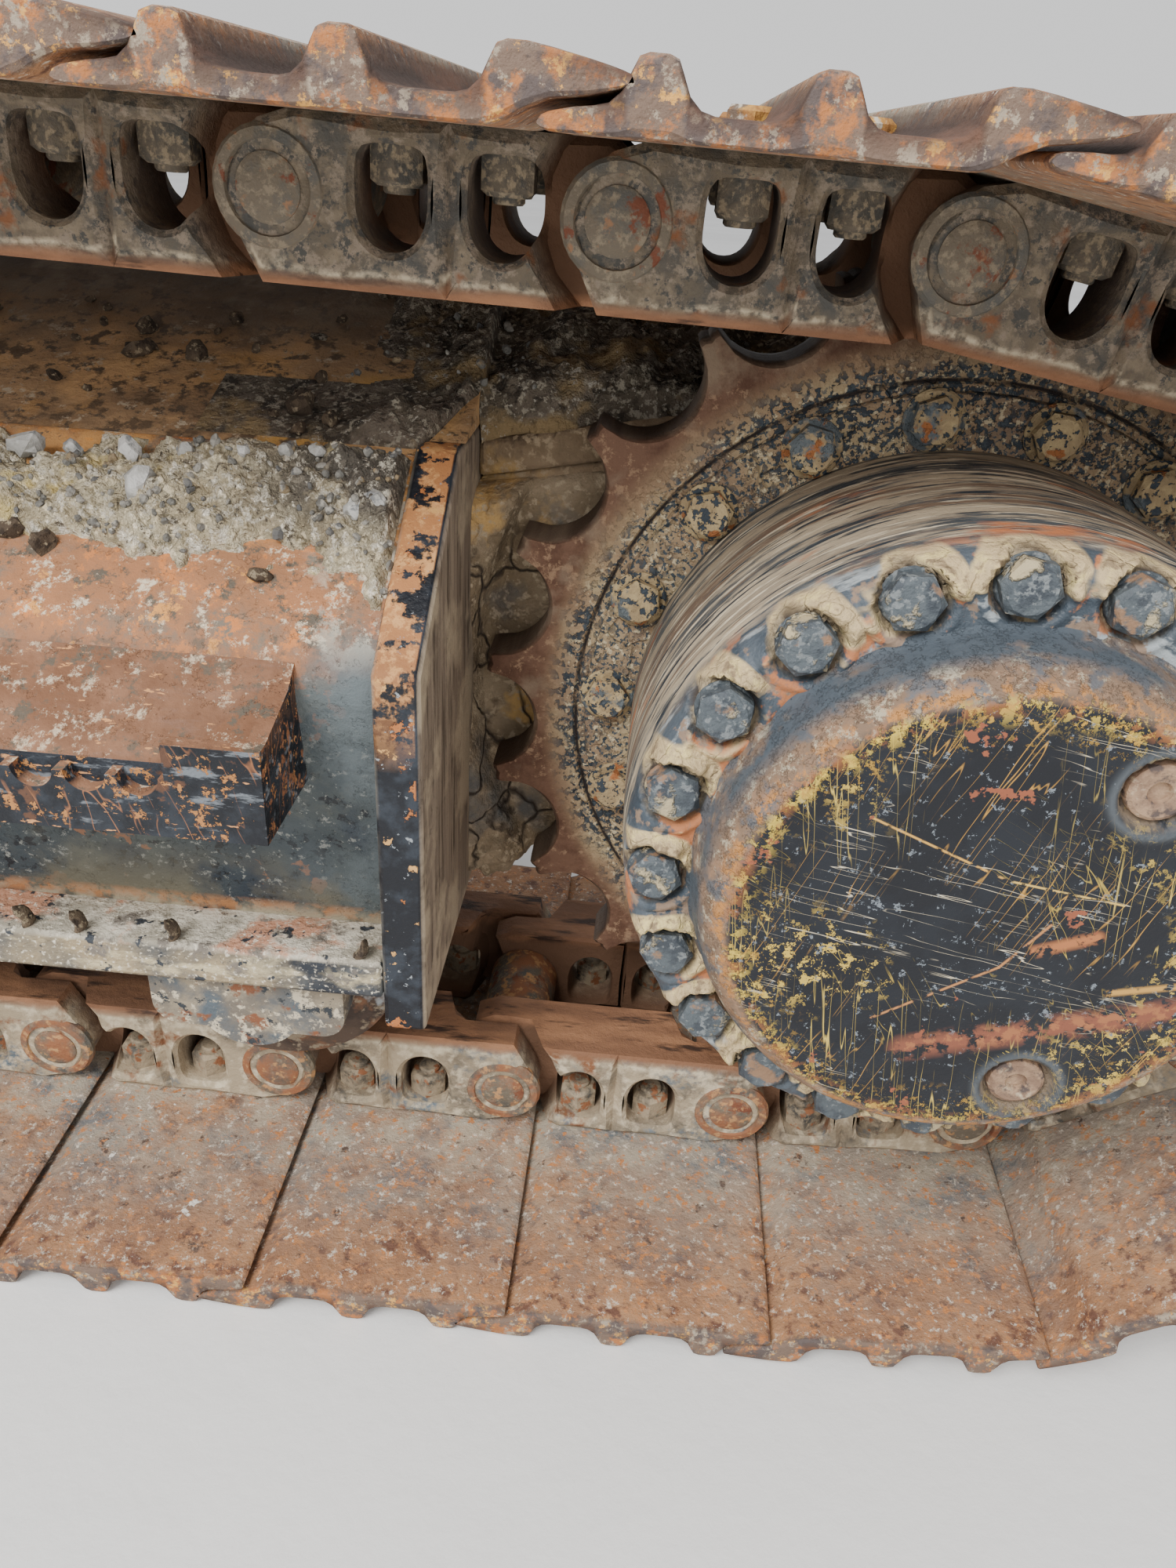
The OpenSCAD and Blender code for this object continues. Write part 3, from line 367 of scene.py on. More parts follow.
lower_run = place(2, 0.3, 0.1)
on_rail = carried("rail", 0.3, 0.8)
link_steel = weathered("link_steel", "#665c4d", 0.8, [
    ("#4c4b47", 0.75, spots(22, 0.44, 0.62)), ("#7e7260", 0.88, spots(55, 0.5, 0.64, shift=3)),
    ("#85796a", 0.95, grain(90, 0.50, 0.60, shift=2)), ("#454440", 0.7, grain(110, 0.54, 0.60, shift=8)),
    ("#a3947b", 0.95, lower_run, spots(16, 0.34, 0.54, shift=4)),
    ("#5f6a70", 0.7, lower_run, spots(19, 0.54, 0.62, shift=7), spots(160, 0.4, 0.6)),
    ("#c4b69c", 0.97, lower_run, spots(90, 0.50, 0.66, shift=6)),
    ("#7b5238", 0.9, spots(28, 0.58, 0.66, shift=5)),
    ("#c9bba0", 0.97, carried("rail", 0, 0.3), carried("rail", 0.5, 0.2), spots(120, 0.42, 0.6)),
    ("#6e513d", 0.85, carried("sunk")), ("#7c5840", 0.75, on_rail),
    ("#9a6f50", 0.7, on_rail, spots(40, 0.46, 0.62, stretch=(0.25, 1, 1))),
    ("#3c2a20", 0.7, on_rail, spots(60, 0.55, 0.63, stretch=(0.2, 1, 1), shift=9))],
    [(0.0008, uneven(45)), (0.0005, uneven(200)), (0.0002, uneven(700))], "own")
pin_rust = weathered("pin_rust", "#6a6153", 0.8, [
    ("#565550", 0.7, spots(40, 0.46, 0.6)), ("#857a68", 0.92, grain(110, 0.51, 0.6, shift=2)),
    ("#6f4230", 0.8, grain(30, 0.57, 0.61, rough=0.7, shift=4)),
    ("#8b6a50", 0.85, spots(80, 0.60, 0.66, shift=7)),
    ("#8f5f42", 0.85, lower_run, spots(30, 0.44, 0.6, shift=1)),
    ("#b3885c", 0.9, lower_run, spots(110, 0.54, 0.62, shift=9))],
    [(0.0006, uneven(90)), (0.0003, uneven(400))])
nut_steel = weathered("nut_steel", "#655c4f", 0.85, [
    ("#4a4843", 0.75, spots(70, 0.45, 0.6)), ("#8c7e68", 0.92, spots(200, 0.5, 0.6, shift=2)),
    ("#9c8c74", 0.95, lower_run, spots(60, 0.4, 0.58, shift=4)),
    ("#8a5a3c", 0.85, lower_run, spots(90, 0.54, 0.6, shift=6))],
    [(0.0006, uneven(120)), (0.0003, uneven(450))])
sunk = np.clip((112 - link_side[0][:, 1]) / 30, 0, 1)
rail_worn = np.clip((link_side[0][:, 2] - 40) / 8, 0, 1)
for side, row in ((-1, "link_row_outer"), (1, "link_row_inner")):
    flip = np.array([1, side, 1.0])
    build_along(row + "_sides", link_side[0] * flip, link_side[1], link_steel, "link_steel", [row],
                own=True, sunk=sunk, rail=rail_worn)
    build_along(row + "_pin_ends", pin_end[0] * flip, pin_end[1], pin_rust, "pin_steel")
    build_along(row + "_nuts", nuts[0] * flip, nuts[1], nut_steel, "pin_steel")

# The bushings between the links: ground steel sleeves, rusted on the outside.
sleeve = turned([(0, -46), (31, -46), (33, -44), (33, 0), (33, 44), (31, 46), (0, 46)], 28)
build_along("chain_bushings", *sleeve, pin_rust, "pin_steel", ["bushings"])

# The track shoes: rolled steel with three grousers, a lip over the next shoe and a hanging tail. The
# profile is the outer side's height over the inner side's at the same place along the chain.
def slab(top, bottom):
    """Points and faces of the closed body between two grids of points with the same rows and columns."""
    rows, columns = top.shape[:2]
    points = np.concatenate([top, bottom[:, ::-1]], 1).reshape(-1, 3)
    i = np.arange(columns - 1)
    cap = np.stack([i, i + 1, 2 * columns - 2 - i, 2 * columns - 1 - i], -1)
    far_cap = cap[:, ::-1] + (rows - 1) * 2 * columns
    faces = np.concatenate([grid(rows, 2 * columns, closed=True), cap, far_cap])
    return points, outward(points, faces)


grouser_at = [38.6, 111.7, 183.7]
foot = np.array([-25, -19, -14, -10.5, -8, -4, 4, 8, 10.5, 14, 19, 25.0])
rise = np.array([0, 1.5, 6, 13.5, 18.5, 20, 20, 18.5, 13.5, 6, 1.5, 0])
xs, outer_z = [-10, -9, -5, 0, 8, 16, 24], [-61.5, -63.8, -65, -66.2, -67.8, -69.2, -70.6]
for g in grouser_at:
    first = 5 if g < 50 else 0
    xs += list(g + foot[first:])
    outer_z += list(-52 - rise[first:])
xs += [216, 223, 227, 230, 231.5]
outer_z += [-51, -49.5, -48.5, -47, -44.5]
xs, outer_z = np.array(xs, float), np.array(outer_z, float)
inner_z = np.interp(xs, [-10, -4, 8, 22, 31, 36, 44, 50, 226, 229.5, 231.5],
                    [-60.5, -58, -55, -53, -51.5, -47, -42.5, -41, -41, -41.6, -43.5])
across = np.array([-300, -298.5, -294, -250, -180, -90, 0, 90, 180, 250, 294, 298.5, 300])
inset = np.array([2.2, 0.6, 0, 0, 0, 0, 0, 0, 0, 0, 0, 0.6, 2.2])
x, y = np.meshgrid(xs, across)
middle = (inner_z + outer_z) / 2
sides = [z + (middle - z) * np.minimum(inset[:, None] / 4, 1) * 0.5 for z in (inner_z, outer_z)]
shoe = slab(*[np.stack([x, y, z], -1) for z in sides])
shoe_steel = weathered("shoe_steel", "#8a6449", 0.8, [
    ("#a47c5a", 0.85, spots(14, 0.42, 0.62, stretch=(1, 0.5, 1))),
    ("#674738", 0.8, spots(70, 0.52, 0.62, shift=2)),
    ("#8e8275", 0.92, carried("near", 0.1, 0.9), spots(9, 0.34, 0.56, shift=3)),
    ("#5e6467", 0.7, carried("near", 0.0, 0.9), spots(12, 0.5, 0.58, shift=4), spots(110, 0.36, 0.56)),
    ("#a69a86", 0.95, carried("near", 0.3, 1.0), spots(26, 0.44, 0.6, shift=6)),
    ("#b07a50", 0.85, grain(90, 0.54, 0.64, shift=1)),
    ("#c9bdac", 0.97, grain(140, 0.56, 0.66, rough=0.78, shift=8)),
    ("#54443b", 0.75, grain(60, 0.60, 0.67, shift=5)), ("#d7d0c4", 0.97, spots(60, 0.70, 0.715, shift=7)),
    ("#d5cdc1", 0.97, spots(20, 0.70, 0.71, shift=3)),
    ("#b17649", 0.85, spots(110, 0.63, 0.67, detail=3, shift=11)), ("#6d5a4d", 0.8, carried("end")),
    ("#a5693c", 0.8, carried("end"), grain(50, 0.50, 0.57, rough=0.72)),
    ("#c8954e", 0.85, carried("end"), grain(80, 0.57, 0.61, shift=3)),
    ("#534844", 0.7, carried("end"), spots(60, 0.52, 0.6, shift=7)),
    ("#988a78", 0.9, carried("end"), grain(110, 0.55, 0.61, shift=9)), ("#3d2d25", 0.8, carried("wall")),
    ("#654839", 0.85, carried("wall"), spots(30, 0.5, 0.64, stretch=(1, 0.15, 1), shift=2)),
    ("#c4bbad", 0.98, carried("crest", 0.45, 1.0), spots(60, 0.40, 0.54)),
    ("#8a7c6f", 0.95, carried("crest"), spots(150, 0.5, 0.6, shift=5))],
    [(0.0008, uneven(30)), (0.0006, spots(120, 0.35, 0.7)), (0.0003, uneven(500)),
     (0.004, carried("crest"), spots(90, 0.45, 0.65))], "own")
x, y, z = shoe[0].T
skin = abs(z - np.interp(x, xs, outer_z)) < 2.5
build_along("shoe_plates", *shoe, shoe_steel, "shoe_steel", ["shoes"], own=True,
            end=(abs(y) > 296) * 1.0,
            wall=skin * np.clip((z + 70) / 6, 0, 1) * np.clip((-53 - z) / 4 + 1, 0, 1),
            crest=np.clip((-68 - z) / 7, 0, 1),
            near=np.clip((300 - abs(y)) / 200, 0, 1))
head = hexagon(30, 13)
heads = together(*[copies(*head, to_shoe, np.array([[x, y, -51.0]]))
                   for x in window_x for y in (-80, 80)])
bolt_rust = weathered("bolt_rust", "#9a6b3c", 0.8, [
    ("#c99a4e", 0.85, spots(60, 0.45, 0.6)), ("#6b5a4c", 0.8, spots(40, 0.55, 0.62, shift=3)),
    ("#b8ad9c", 0.95, spots(90, 0.55, 0.62, shift=6))],
    [(0.0008, uneven(150))])
build_along("shoe_bolt_heads", *heads, bolt_rust, "pin_steel")

# The sprocket: a cast ring of 21 half-pitch teeth. The pockets are worn smooth, the flanks rusted,
# and the bolted flange carries speckled clay over black paint.
def radius(low, high):
    """0 at low to 1 at high of the distance from the sprocket's axis."""
    def make(tree, at):
        v = node(tree, "VectorMath", {0: at, 1: (-hub_x, 0, -hub_z)}, operation="ADD")
        v = node(tree, "VectorMath", {0: v.outputs[0], 1: (1, 0, 1)}, operation="MULTIPLY")
        v = node(tree, "VectorMath", {0: v.outputs[0]}, operation="LENGTH")
        return node(tree, "MapRange", {0: v.outputs["Value"], 1: low, 2: high}).outputs[0]
    return make


def cracks(scale, width):
    """1 on the borders of Voronoi cells, fading to 0 at the width, in metres."""
    def make(tree, at):
        bend = node(tree, "TexNoise", {"Vector": at, "Scale": scale * 1.5, "Detail": 3})
        bend = node(tree, "VectorMath", {0: bend.outputs[1], 1: (0.5 / scale,) * 3}, operation="MULTIPLY")
        v = node(tree, "VectorMath", {0: at, 1: bend.outputs[0]}, operation="ADD")
        n = node(tree, "TexVoronoi", {"Vector": v.outputs[0], "Scale": scale}, feature="DISTANCE_TO_EDGE")
        return node(tree, "MapRange", {0: n.outputs[0], 1: width * scale, 2: 0}).outputs[0]
    return make


teeth, tooth_r, pocket_r, first = 21, 0.3394, 0.044, np.radians(64.2)
tooth_turn = 2 * np.pi / teeth
pitch_r = pitch_m / 2 / np.sin(tooth_turn)
n_round = teeth * 28
a = np.arange(n_round) * 2 * np.pi / n_round + first
off = (a - first + tooth_turn / 2) % tooth_turn - tooth_turn / 2
dip = np.maximum(pocket_r ** 2 - (pitch_r * np.sin(off)) ** 2, 0)
edge_r = np.where(dip > 0, pitch_r * np.cos(off) - np.sqrt(dip), 9)
edge_r = np.minimum(edge_r, tooth_r - 0.0015 * (abs(off) > 0.14))
rows = [(0.155, -0.027), (0.2565, -0.027), (0.2575, -0.0262), (0.2585, -0.0215), (0.263, -0.0212),
        (0.2645, -0.0195), (0.2665, -0.0195), (0.268, -0.0212)]
rows = [(np.full(n_round, r), np.full(n_round, y)) for r, y in rows]
rows += [(edge_r - 0.022, np.full(n_round, -0.0212)), (edge_r - 0.004, np.full(n_round, -0.0205)),
         (edge_r - 0.0003, np.full(n_round, -0.0165)), (edge_r, np.full(n_round, -0.008)),
         (edge_r, np.full(n_round, 0.012)), (edge_r - 0.0003, np.full(n_round, 0.0225)),
         (edge_r - 0.004, np.full(n_round, 0.0265)), (np.full(n_round, 0.155), np.full(n_round, 0.0265))]
pts = np.stack([np.stack([hub_x + r * np.cos(a), mid_y + y, hub_z + r * np.sin(a)], -1) for r, y in rows], 1)
faces = grid(n_round, len(rows), around=True, closed=True)
worn = np.zeros((n_round, len(rows)))
worn[:, 10:15] = 1
pts = pts.reshape(-1, 3)
sprocket_iron = weathered("sprocket_iron", "#684c3b", 0.75, [
    ("#553a2b", 0.78, grain(40, 0.45, 0.6, rough=0.7)), ("#8b7058", 0.85, grain(90, 0.54, 0.62, shift=4)),
    ("#7c6a58", 0.92, spots(20, 0.52, 0.64, shift=2)), ("#998266", 0.95, radius(0.296, 0.272)),
    ("#a69473", 0.96, spots(30, 0.45, 0.62), radius(0.29, 0.272)),
    ("#85715d", 0.95, spots(14, 0.52, 0.62, shift=3), radius(0.29, 0.272)),
    ("#2d343b", 0.55, spots(150, 0.515, 0.54, detail=4), spots(14, 0.36, 0.5, shift=6), radius(0.292, 0.276)),
    ("#3e474d", 0.5, spots(260, 0.53, 0.56, detail=3, shift=9), radius(0.28, 0.27)),
    ("#c1b292", 0.97, spots(200, 0.58, 0.63, detail=3, shift=5), radius(0.285, 0.27)),
    ("#29221f", 0.9, radius(0.2672, 0.2662), radius(0.2638, 0.2648), spots(30, 0.3, 0.5)),
    ("#43342a", 0.6, carried("worn")),
    ("#6f5f50", 0.6, carried("worn"), spots(28, 0.42, 0.6, stretch=(1, 0.08, 1)))],
    [(0.0007, uneven(110)), (0.0003, uneven(500)),
     (-0.0010, spots(150, 0.515, 0.54, detail=4), radius(0.292, 0.276)),
     (-0.0015, cracks(26, 0.0012), spots(7, 0.5, 0.55, shift=2), radius(0.285, 0.27))])
build("sprocket_ring", pts, outward(pts, faces), sprocket_iron, "sprocket_iron", ["sprocket"],
      worn=worn.ravel(), smooth=40)


def bolts_on(radius_m, y, angles, head):
    """Bolt heads along -y on a circle about the sprocket's axis, each turned by its own angle."""
    p, f = head
    c, s = np.cos(angles * 7.3), np.sin(angles * 7.3)
    turns = mixing(c, s, s, -c, -1)
    places = np.stack([hub_x + radius_m * np.cos(angles), np.full(len(angles), y),
                       hub_z + radius_m * np.sin(angles)], -1)
    many, faces = copies(p / 1000, f, turns, places)
    return many, outward(many, faces)


clay_bolts = weathered("clay_bolts", "#a08c6b", 0.93, [
    ("#bba67e", 0.95, spots(60, 0.45, 0.6)), ("#39424a", 0.6, spots(190, 0.53, 0.56, detail=3, shift=2)),
    ("#646c6f", 0.7, spots(24, 0.56, 0.60, shift=3)), ("#a56a40", 0.85, spots(60, 0.6, 0.64, shift=7))],
    [(0.0012, uneven(90)), (0.0004, uneven(400)), (-0.0008, spots(190, 0.53, 0.56, detail=3, shift=2))])
circle = (0.2407, mid_y - 0.027, np.radians(77.4 + 20 * np.arange(18)))
washer = turned([(0, 3), (20, 3), (21.5, 1.5), (21.5, 0), (0, 0)], 24)
pts, faces = together(bolts_on(*circle, hexagon(31, 14)), bolts_on(*circle, washer))
build("sprocket_bolts", pts, faces, clay_bolts, "pin_steel")

# The drum of the final drive: a cast housing with a rounded shoulder and twenty counterbores, whose
# raised lips and floors hold dried clay. Its skin is scuffed round and round.
def about_hub(rows, n):
    """Angle from the lowest point, radius and y of n turns of the rows of (radius, y) about the hub."""
    t = np.radians(-90.0) + np.arange(n) * 2 * np.pi / n
    rows = np.asarray(rows, float)
    r, y = np.tile(rows[:, 0], (n, 1)), np.tile(rows[:, 1], (n, 1))
    return t[:, None] + 0 * r, r, y


def bell(d, centre, width):
    """exp(-((d - centre) / width)^2)."""
    return np.exp(-((d - centre) / width) ** 2)


def ease(d, low, high):
    """1 below low, 0 above high, smooth between."""
    k = np.clip((high - d) / (high - low), 0, 1)
    return k * k * (3 - 2 * k)


def wobble(u, v, size, seed, octaves=4):
    """Value noise between about -1 and 1: random numbers on a lattice of the given size, blended
    smoothly between, with half the size and 0.55 of the height for each octave."""
    lattice = np.random.default_rng(seed).random((128, 128)) * 2 - 1
    out = 0
    for k in range(octaves):
        a, b = u / size * 2 ** k + 37.7 * k, v / size * 2 ** k + 11.3 * k
        i, j = np.floor(a).astype(int), np.floor(b).astype(int)
        s, t = a - i, b - j
        s, t = s * s * (3 - 2 * s), t * t * (3 - 2 * t)
        c = [lattice[(i + di) % 128, (j + dj) % 128] for di, dj in ((0, 0), (1, 0), (0, 1), (1, 1))]
        mixed = c[0] * (1 - s) * (1 - t) + c[1] * s * (1 - t) + c[2] * (1 - s) * t + c[3] * s * t
        out = out + 0.55 ** k * mixed
    return out


shoulder = [(0, -0.027), (0.220, -0.027), (0.2205, -0.05), (0.2205, -0.09), (0.2202, -0.13), (0.2198, -0.165),
            (0.2192, -0.19), (0.2185, -0.207), (0.2175, -0.218), (0.2158, -0.2265), (0.2132, -0.233),
            (0.2098, -0.2372), (0.2062, -0.2393)]
shoulder += [(r, -0.240) for r in np.arange(0.2040, 0.166, -0.0018)] + [(0.1, -0.240), (0, -0.240)]
t, r, y = about_hub(shoulder, 540)
bolt_r, first, step = 0.1966, 75.5, np.radians(18)
d_turn = (t - np.radians(first) + step / 2) % step - step / 2
bolt_t = t - d_turn
dx, dz = r * np.cos(t) - bolt_r * np.cos(bolt_t), r * np.sin(t) - bolt_r * np.sin(bolt_t)
d = np.hypot(dx, dz)
front = np.clip((-0.2 - y) / 0.02, 0, 1)
lumps = wobble(r * np.cos(t) + 1, r * np.sin(t) + 1, 0.030, 5)
clay = front * ease(d, 0.027, 0.038) * np.clip(0.55 + 0.9 * dz / np.maximum(d, 0.01) + 0.9 * lumps, 0, 1)
clay *= ease(abs(r - bolt_r), 0.016, 0.027)
y = y + front * (0.0082 * ease(d, 0.0195, 0.0222) - 0.0024 * bell(d, 0.0258, 0.0026))
crumbs = np.clip(0.004 + 0.006 * wobble(r * np.cos(t) + 3, r * np.sin(t) + 3, 0.012, 8), 0, 0.009)
y = y - clay * crumbs * (d > 0.0160)
r = r - 0.0012 * front * bell(d, 0.0262, 0.003) * (r > 0.206)
pts = np.stack([hub_x + r * np.cos(t), mid_y + y, hub_z + r * np.sin(t)], -1)
own = np.stack([(t + np.pi / 2) * 0.2, y, r], -1)
clay_lump = carried("clay", 0.25, 0.6)
drum_iron = weathered("drum_iron", "#948773", 0.75, [
    ("#ae9f86", 0.85, spots(30, 0.42, 0.6, stretch=(0.12, 1, 1))),
    ("#4c5154", 0.5, grain(80, 0.49, 0.58, stretch=(0.12, 1, 1), rough=0.7, shift=3)),
    ("#705d4d", 0.8, spots(80, 0.53, 0.6, stretch=(0.08, 1, 1), shift=9)),
    ("#323940", 0.45, spots(170, 0.56, 0.61, stretch=(0.08, 1, 1), shift=12)),
    ("#cfc2a8", 0.85, grain(160, 0.56, 0.62, stretch=(0.09, 1, 1), rough=0.7, shift=6)),
    ("#ad6c46", 0.8, spots(26, 0.61, 0.68, stretch=(0.3, 1, 1), shift=1)),
    ("#4b535a", 0.5, carried("front")), ("#3d464e", 0.45, carried("front"), spots(30, 0.46, 0.58, shift=8)),
    ("#989e9f", 0.6, carried("front"), spots(60, 0.56, 0.62, stretch=(0.3, 1, 1), shift=4)),
    ("#aa6e49", 0.85, carried("front"), spots(26, 0.53, 0.57, shift=2)),
    ("#857160", 0.85, carried("front"), spots(60, 0.55, 0.6, shift=13)),
    ("#bfa981", 0.95, carried("clay", 0.25, 0.5)),
    ("#d9c488", 0.95, carried("clay", 0.3, 0.6), grain(60, 0.50, 0.6, rough=0.72, shift=5)),
    ("#907d61", 0.95, carried("clay", 0.3, 0.6), spots(110, 0.54, 0.62, shift=7)),
    ("#3d352f", 0.9, carried("floor")),
    ("#a8987c", 0.95, carried("floor"), spots(60, 0.44, 0.58, shift=5))],
    [(0.0005, uneven(70, stretch=(0.08, 1, 1))), (0.0004, uneven(300)),
     (0.0012, clay_lump, spots(140, 0.35, 0.65)), (-0.0008, clay_lump, cracks(60, 0.0008))], "own")
p, f, kept = weld(pts.reshape(-1, 3), grid(540, len(shoulder), around=True))
build("drum_shell", p, outward(p, f), drum_iron, "drum_iron", ["drum"], own=own.reshape(-1, 3)[kept],
      clay=clay.ravel()[kept], front=np.clip((-0.213 - y) / 0.012, 0, 1).ravel()[kept],
      floor=(front * ease(d, 0.017, 0.0225)).ravel()[kept], smooth=60)
bolt_steel = weathered("bolt_steel", "#51585c", 0.6, [
    ("#3b4147", 0.55, spots(70, 0.45, 0.6)), ("#74797a", 0.6, spots(190, 0.54, 0.62, shift=2)),
    ("#866a53", 0.85, spots(34, 0.58, 0.63, shift=5)), ("#ad9f7f", 0.95, spots(34, 0.56, 0.61, shift=8))],
    [(0.0008, uneven(120)), (0.0003, uneven(450)), (0.002, spots(34, 0.56, 0.61, shift=8))])
circle = (bolt_r, mid_y - 0.2318, np.radians(first + 18 * np.arange(20)))
washer = turned([(0, 2.5), (17, 2.5), (18, 1), (18, 0), (0, 0)], 20)
pts, faces = together(bolts_on(*circle, hexagon(31, 15)), bolts_on(*circle, washer))
build("cover_bolts", pts, faces, bolt_steel, "pin_steel")

# The cover: black paint scratched through to primer by stones, worn to rust along its rim; the drain
# and level plugs lie in ringed recesses.
def scratches(scale, width, turn, length=14, shift=0):
    """Thin lines where stretched noise passes its middle: 1 - |noise - 0.5| / width."""
    def make(tree, at):
        m = node(tree, "Mapping", {"Vector": at, "Rotation": (0, np.radians(turn), 0)})
        m = node(tree, "Mapping", {"Vector": m.outputs[0], "Scale": (1, 1, 1 / length),
                                   "Location": (shift, 0, shift)})
        n = node(tree, "TexNoise", {"Vector": m.outputs[0], "Scale": scale, "Detail": 2, "Roughness": 0.4})
        d = node(tree, "Math", {0: n.outputs[0], 1: 0.5}, operation="SUBTRACT")
        d = node(tree, "Math", {0: d.outputs[0]}, operation="ABSOLUTE")
        return node(tree, "MapRange", {0: d.outputs[0], 1: width, 2: 0}).outputs[0]
    return make


def stroke(x0, z0, x1, z1, width, x=hub_x, z=hub_z):
    """1 on the line between two points, counted from x and z, at first the sprocket's axis; it fades to
    0 at the width."""
    def make(tree, at):
        long = float(np.hypot((x + x1) - (x + x0), (z + z1) - (z + z0)))
        way = (((x + x1) - (x + x0)) / long, 0, ((z + z1) - (z + z0)) / long)
        v = node(tree, "VectorMath", {0: at, 1: (-(x + x0), 0, -(z + z0))}, operation="ADD")
        v = node(tree, "VectorMath", {0: v.outputs[0], 1: (1, 0, 1)}, operation="MULTIPLY").outputs[0]
        s = node(tree, "VectorMath", {0: v, 1: way}, operation="DOT_PRODUCT").outputs["Value"]
        s = node(tree, "Clamp", {0: s, 1: 0, 2: long}).outputs[0]
        near = node(tree, "VectorMath", {0: way, "Scale": s}, operation="SCALE").outputs[0]
        d = node(tree, "VectorMath", {0: v, 1: near}, operation="DISTANCE").outputs["Value"]
        return node(tree, "MapRange", {0: d, 1: width, 2: width * 0.3}).outputs[0]
    return make


rim = [(0, -0.2385), (0.1765, -0.2385), (0.1758, -0.2405), (0.174, -0.2425), (0.1728, -0.252),
       (0.171, -0.263), (0.1685, -0.272), (0.1648, -0.2795), (0.1602, -0.285), (0.1558, -0.2882),
       (0.1515, -0.2896), (0.148, -0.29)]
rim += [(r, -0.29) for r in np.linspace(0.145, 0.003, 56)] + [(0, -0.29)]
t, r, y = about_hub(rim, 300)
plug_r, plug_at = 0.124, np.radians([-68.0, 56.0])
hole = np.stack([np.cos(plug_at) * plug_r, np.sin(plug_at) * plug_r], -1)
x, z = r * np.cos(t), r * np.sin(t)
d = np.hypot(x[..., None] - hole[:, 0], z[..., None] - hole[:, 1]).min(-1)
y = y + (r < 0.1485) * (0.0088 * ease(d, 0.0200, 0.0228) - 0.0018 * bell(d, 0.0262, 0.0022))
pts = np.stack([hub_x + x, mid_y + y, hub_z + z], -1).reshape(-1, 3)
p, f, kept = weld(pts, grid(300, len(rim), around=True))
edge_wear = radius(0.118, 0.152)
cone = radius(0.150, 0.1575)
cover_paint = weathered("cover_paint", "#0d1017", 0.42, [
    ("#171b22", 0.5, spots(20, 0.45, 0.6)),
    ("#b39a48", 0.8, scratches(90, 0.006, 35, length=8), spots(12, 0.54, 0.60)),
    ("#bda650", 0.75, scratches(150, 0.007, 62, length=8, shift=3), spots(9, 0.52, 0.60, shift=4)),
    ("#b78a3f", 0.8, scratches(90, 0.008, -20, shift=5), spots(7, 0.48, 0.56, shift=7)),
    ("#d8cbb0", 0.7, scratches(130, 0.006, 80, shift=8), spots(10, 0.5, 0.56, shift=2)),
    ("#c7ad58", 0.8, scratches(120, 0.007, 8, length=20, shift=9), spots(6, 0.48, 0.58, shift=6)),
    ("#bfa24a", 0.8, spots(90, 0.565, 0.58, detail=9, rough=0.8), spots(6, 0.50, 0.60, shift=4)),
    ("#6f767c", 0.6, spots(140, 0.62, 0.64, detail=9, rough=0.8, shift=3)),
    ("#c79a4c", 0.8, stroke(-0.082, 0.074, 0.002, 0.040, 0.0010), grain(120, 0.42, 0.50, rough=0.6)),
    ("#c9a85c", 0.8, stroke(0.002, 0.040, 0.072, 0.030, 0.0010), grain(120, 0.44, 0.50, rough=0.6)),
    ("#b07a4a", 0.8, stroke(-0.055, -0.070, 0.012, -0.022, 0.0012), grain(120, 0.42, 0.50, rough=0.6)),
    ("#b07a4a", 0.8, stroke(0.012, -0.022, 0.034, 0.012, 0.0012), grain(120, 0.42, 0.50, rough=0.6)),
    ("#a5683f", 0.8, stroke(0.030, -0.008, 0.062, 0.006, 0.0060), spots(110, 0.44, 0.5, shift=2)),
    ("#b98e48", 0.8, stroke(0.080, -0.034, 0.150, -0.016, 0.0034), spots(120, 0.4, 0.46, shift=4)),
    ("#8a5038", 0.8, spots(30, 0.655, 0.665, shift=5)),
    ("#7d4b38", 0.78, stroke(-0.030, -0.092, 0.150, -0.034, 0.0130), spots(80, 0.43, 0.5, shift=9)),
    ("#96603f", 0.78, stroke(-0.030, -0.092, 0.150, -0.034, 0.0110), spots(130, 0.52, 0.58, shift=3)),
    ("#c59a3c", 0.8, edge_wear, spots(100, 0.565, 0.58, detail=9, rough=0.8, shift=3), spots(14, 0.40, 0.52)),
    ("#cdb04a", 0.8, radius(0.136, 0.153), spots(90, 0.53, 0.56, detail=9, rough=0.75, shift=8)),
    ("#a86a38", 0.85, radius(0.143, 0.156), grain(70, 0.50, 0.53, rough=0.72, shift=5)),
    ("#75604e", 0.82, cone), ("#8b6f58", 0.85, cone, grain(60, 0.48, 0.62, shift=1)),
    ("#a79b85", 0.9, cone, spots(70, 0.54, 0.60, detail=9, rough=0.78, shift=3)),
    ("#5a5a5c", 0.6, cone, spots(40, 0.53, 0.6, shift=9)),
    ("#4a5259", 0.5, radius(0.1655, 0.1705), spots(16, 0.40, 0.52, shift=11)),
    ("#ab7742", 0.85, radius(0.1525, 0.156), radius(0.164, 0.158), grain(70, 0.50, 0.56, shift=4)),
    ("#7a6a58", 0.85, carried("cup"), spots(50, 0.36, 0.5)), ("#4b5054", 0.5, carried("ring"))],
    [(0.0002, uneven(160)),
     (-0.0004, scratches(150, 0.007, 62, length=8, shift=3), spots(9, 0.52, 0.60, shift=4)),
     (-0.0006, radius(0.136, 0.153), spots(90, 0.53, 0.56, detail=9, rough=0.75, shift=8)),
     (0.0006, cone, uneven(70)),
     (-0.0004, edge_wear, spots(100, 0.565, 0.58, detail=9, rough=0.8, shift=3))])
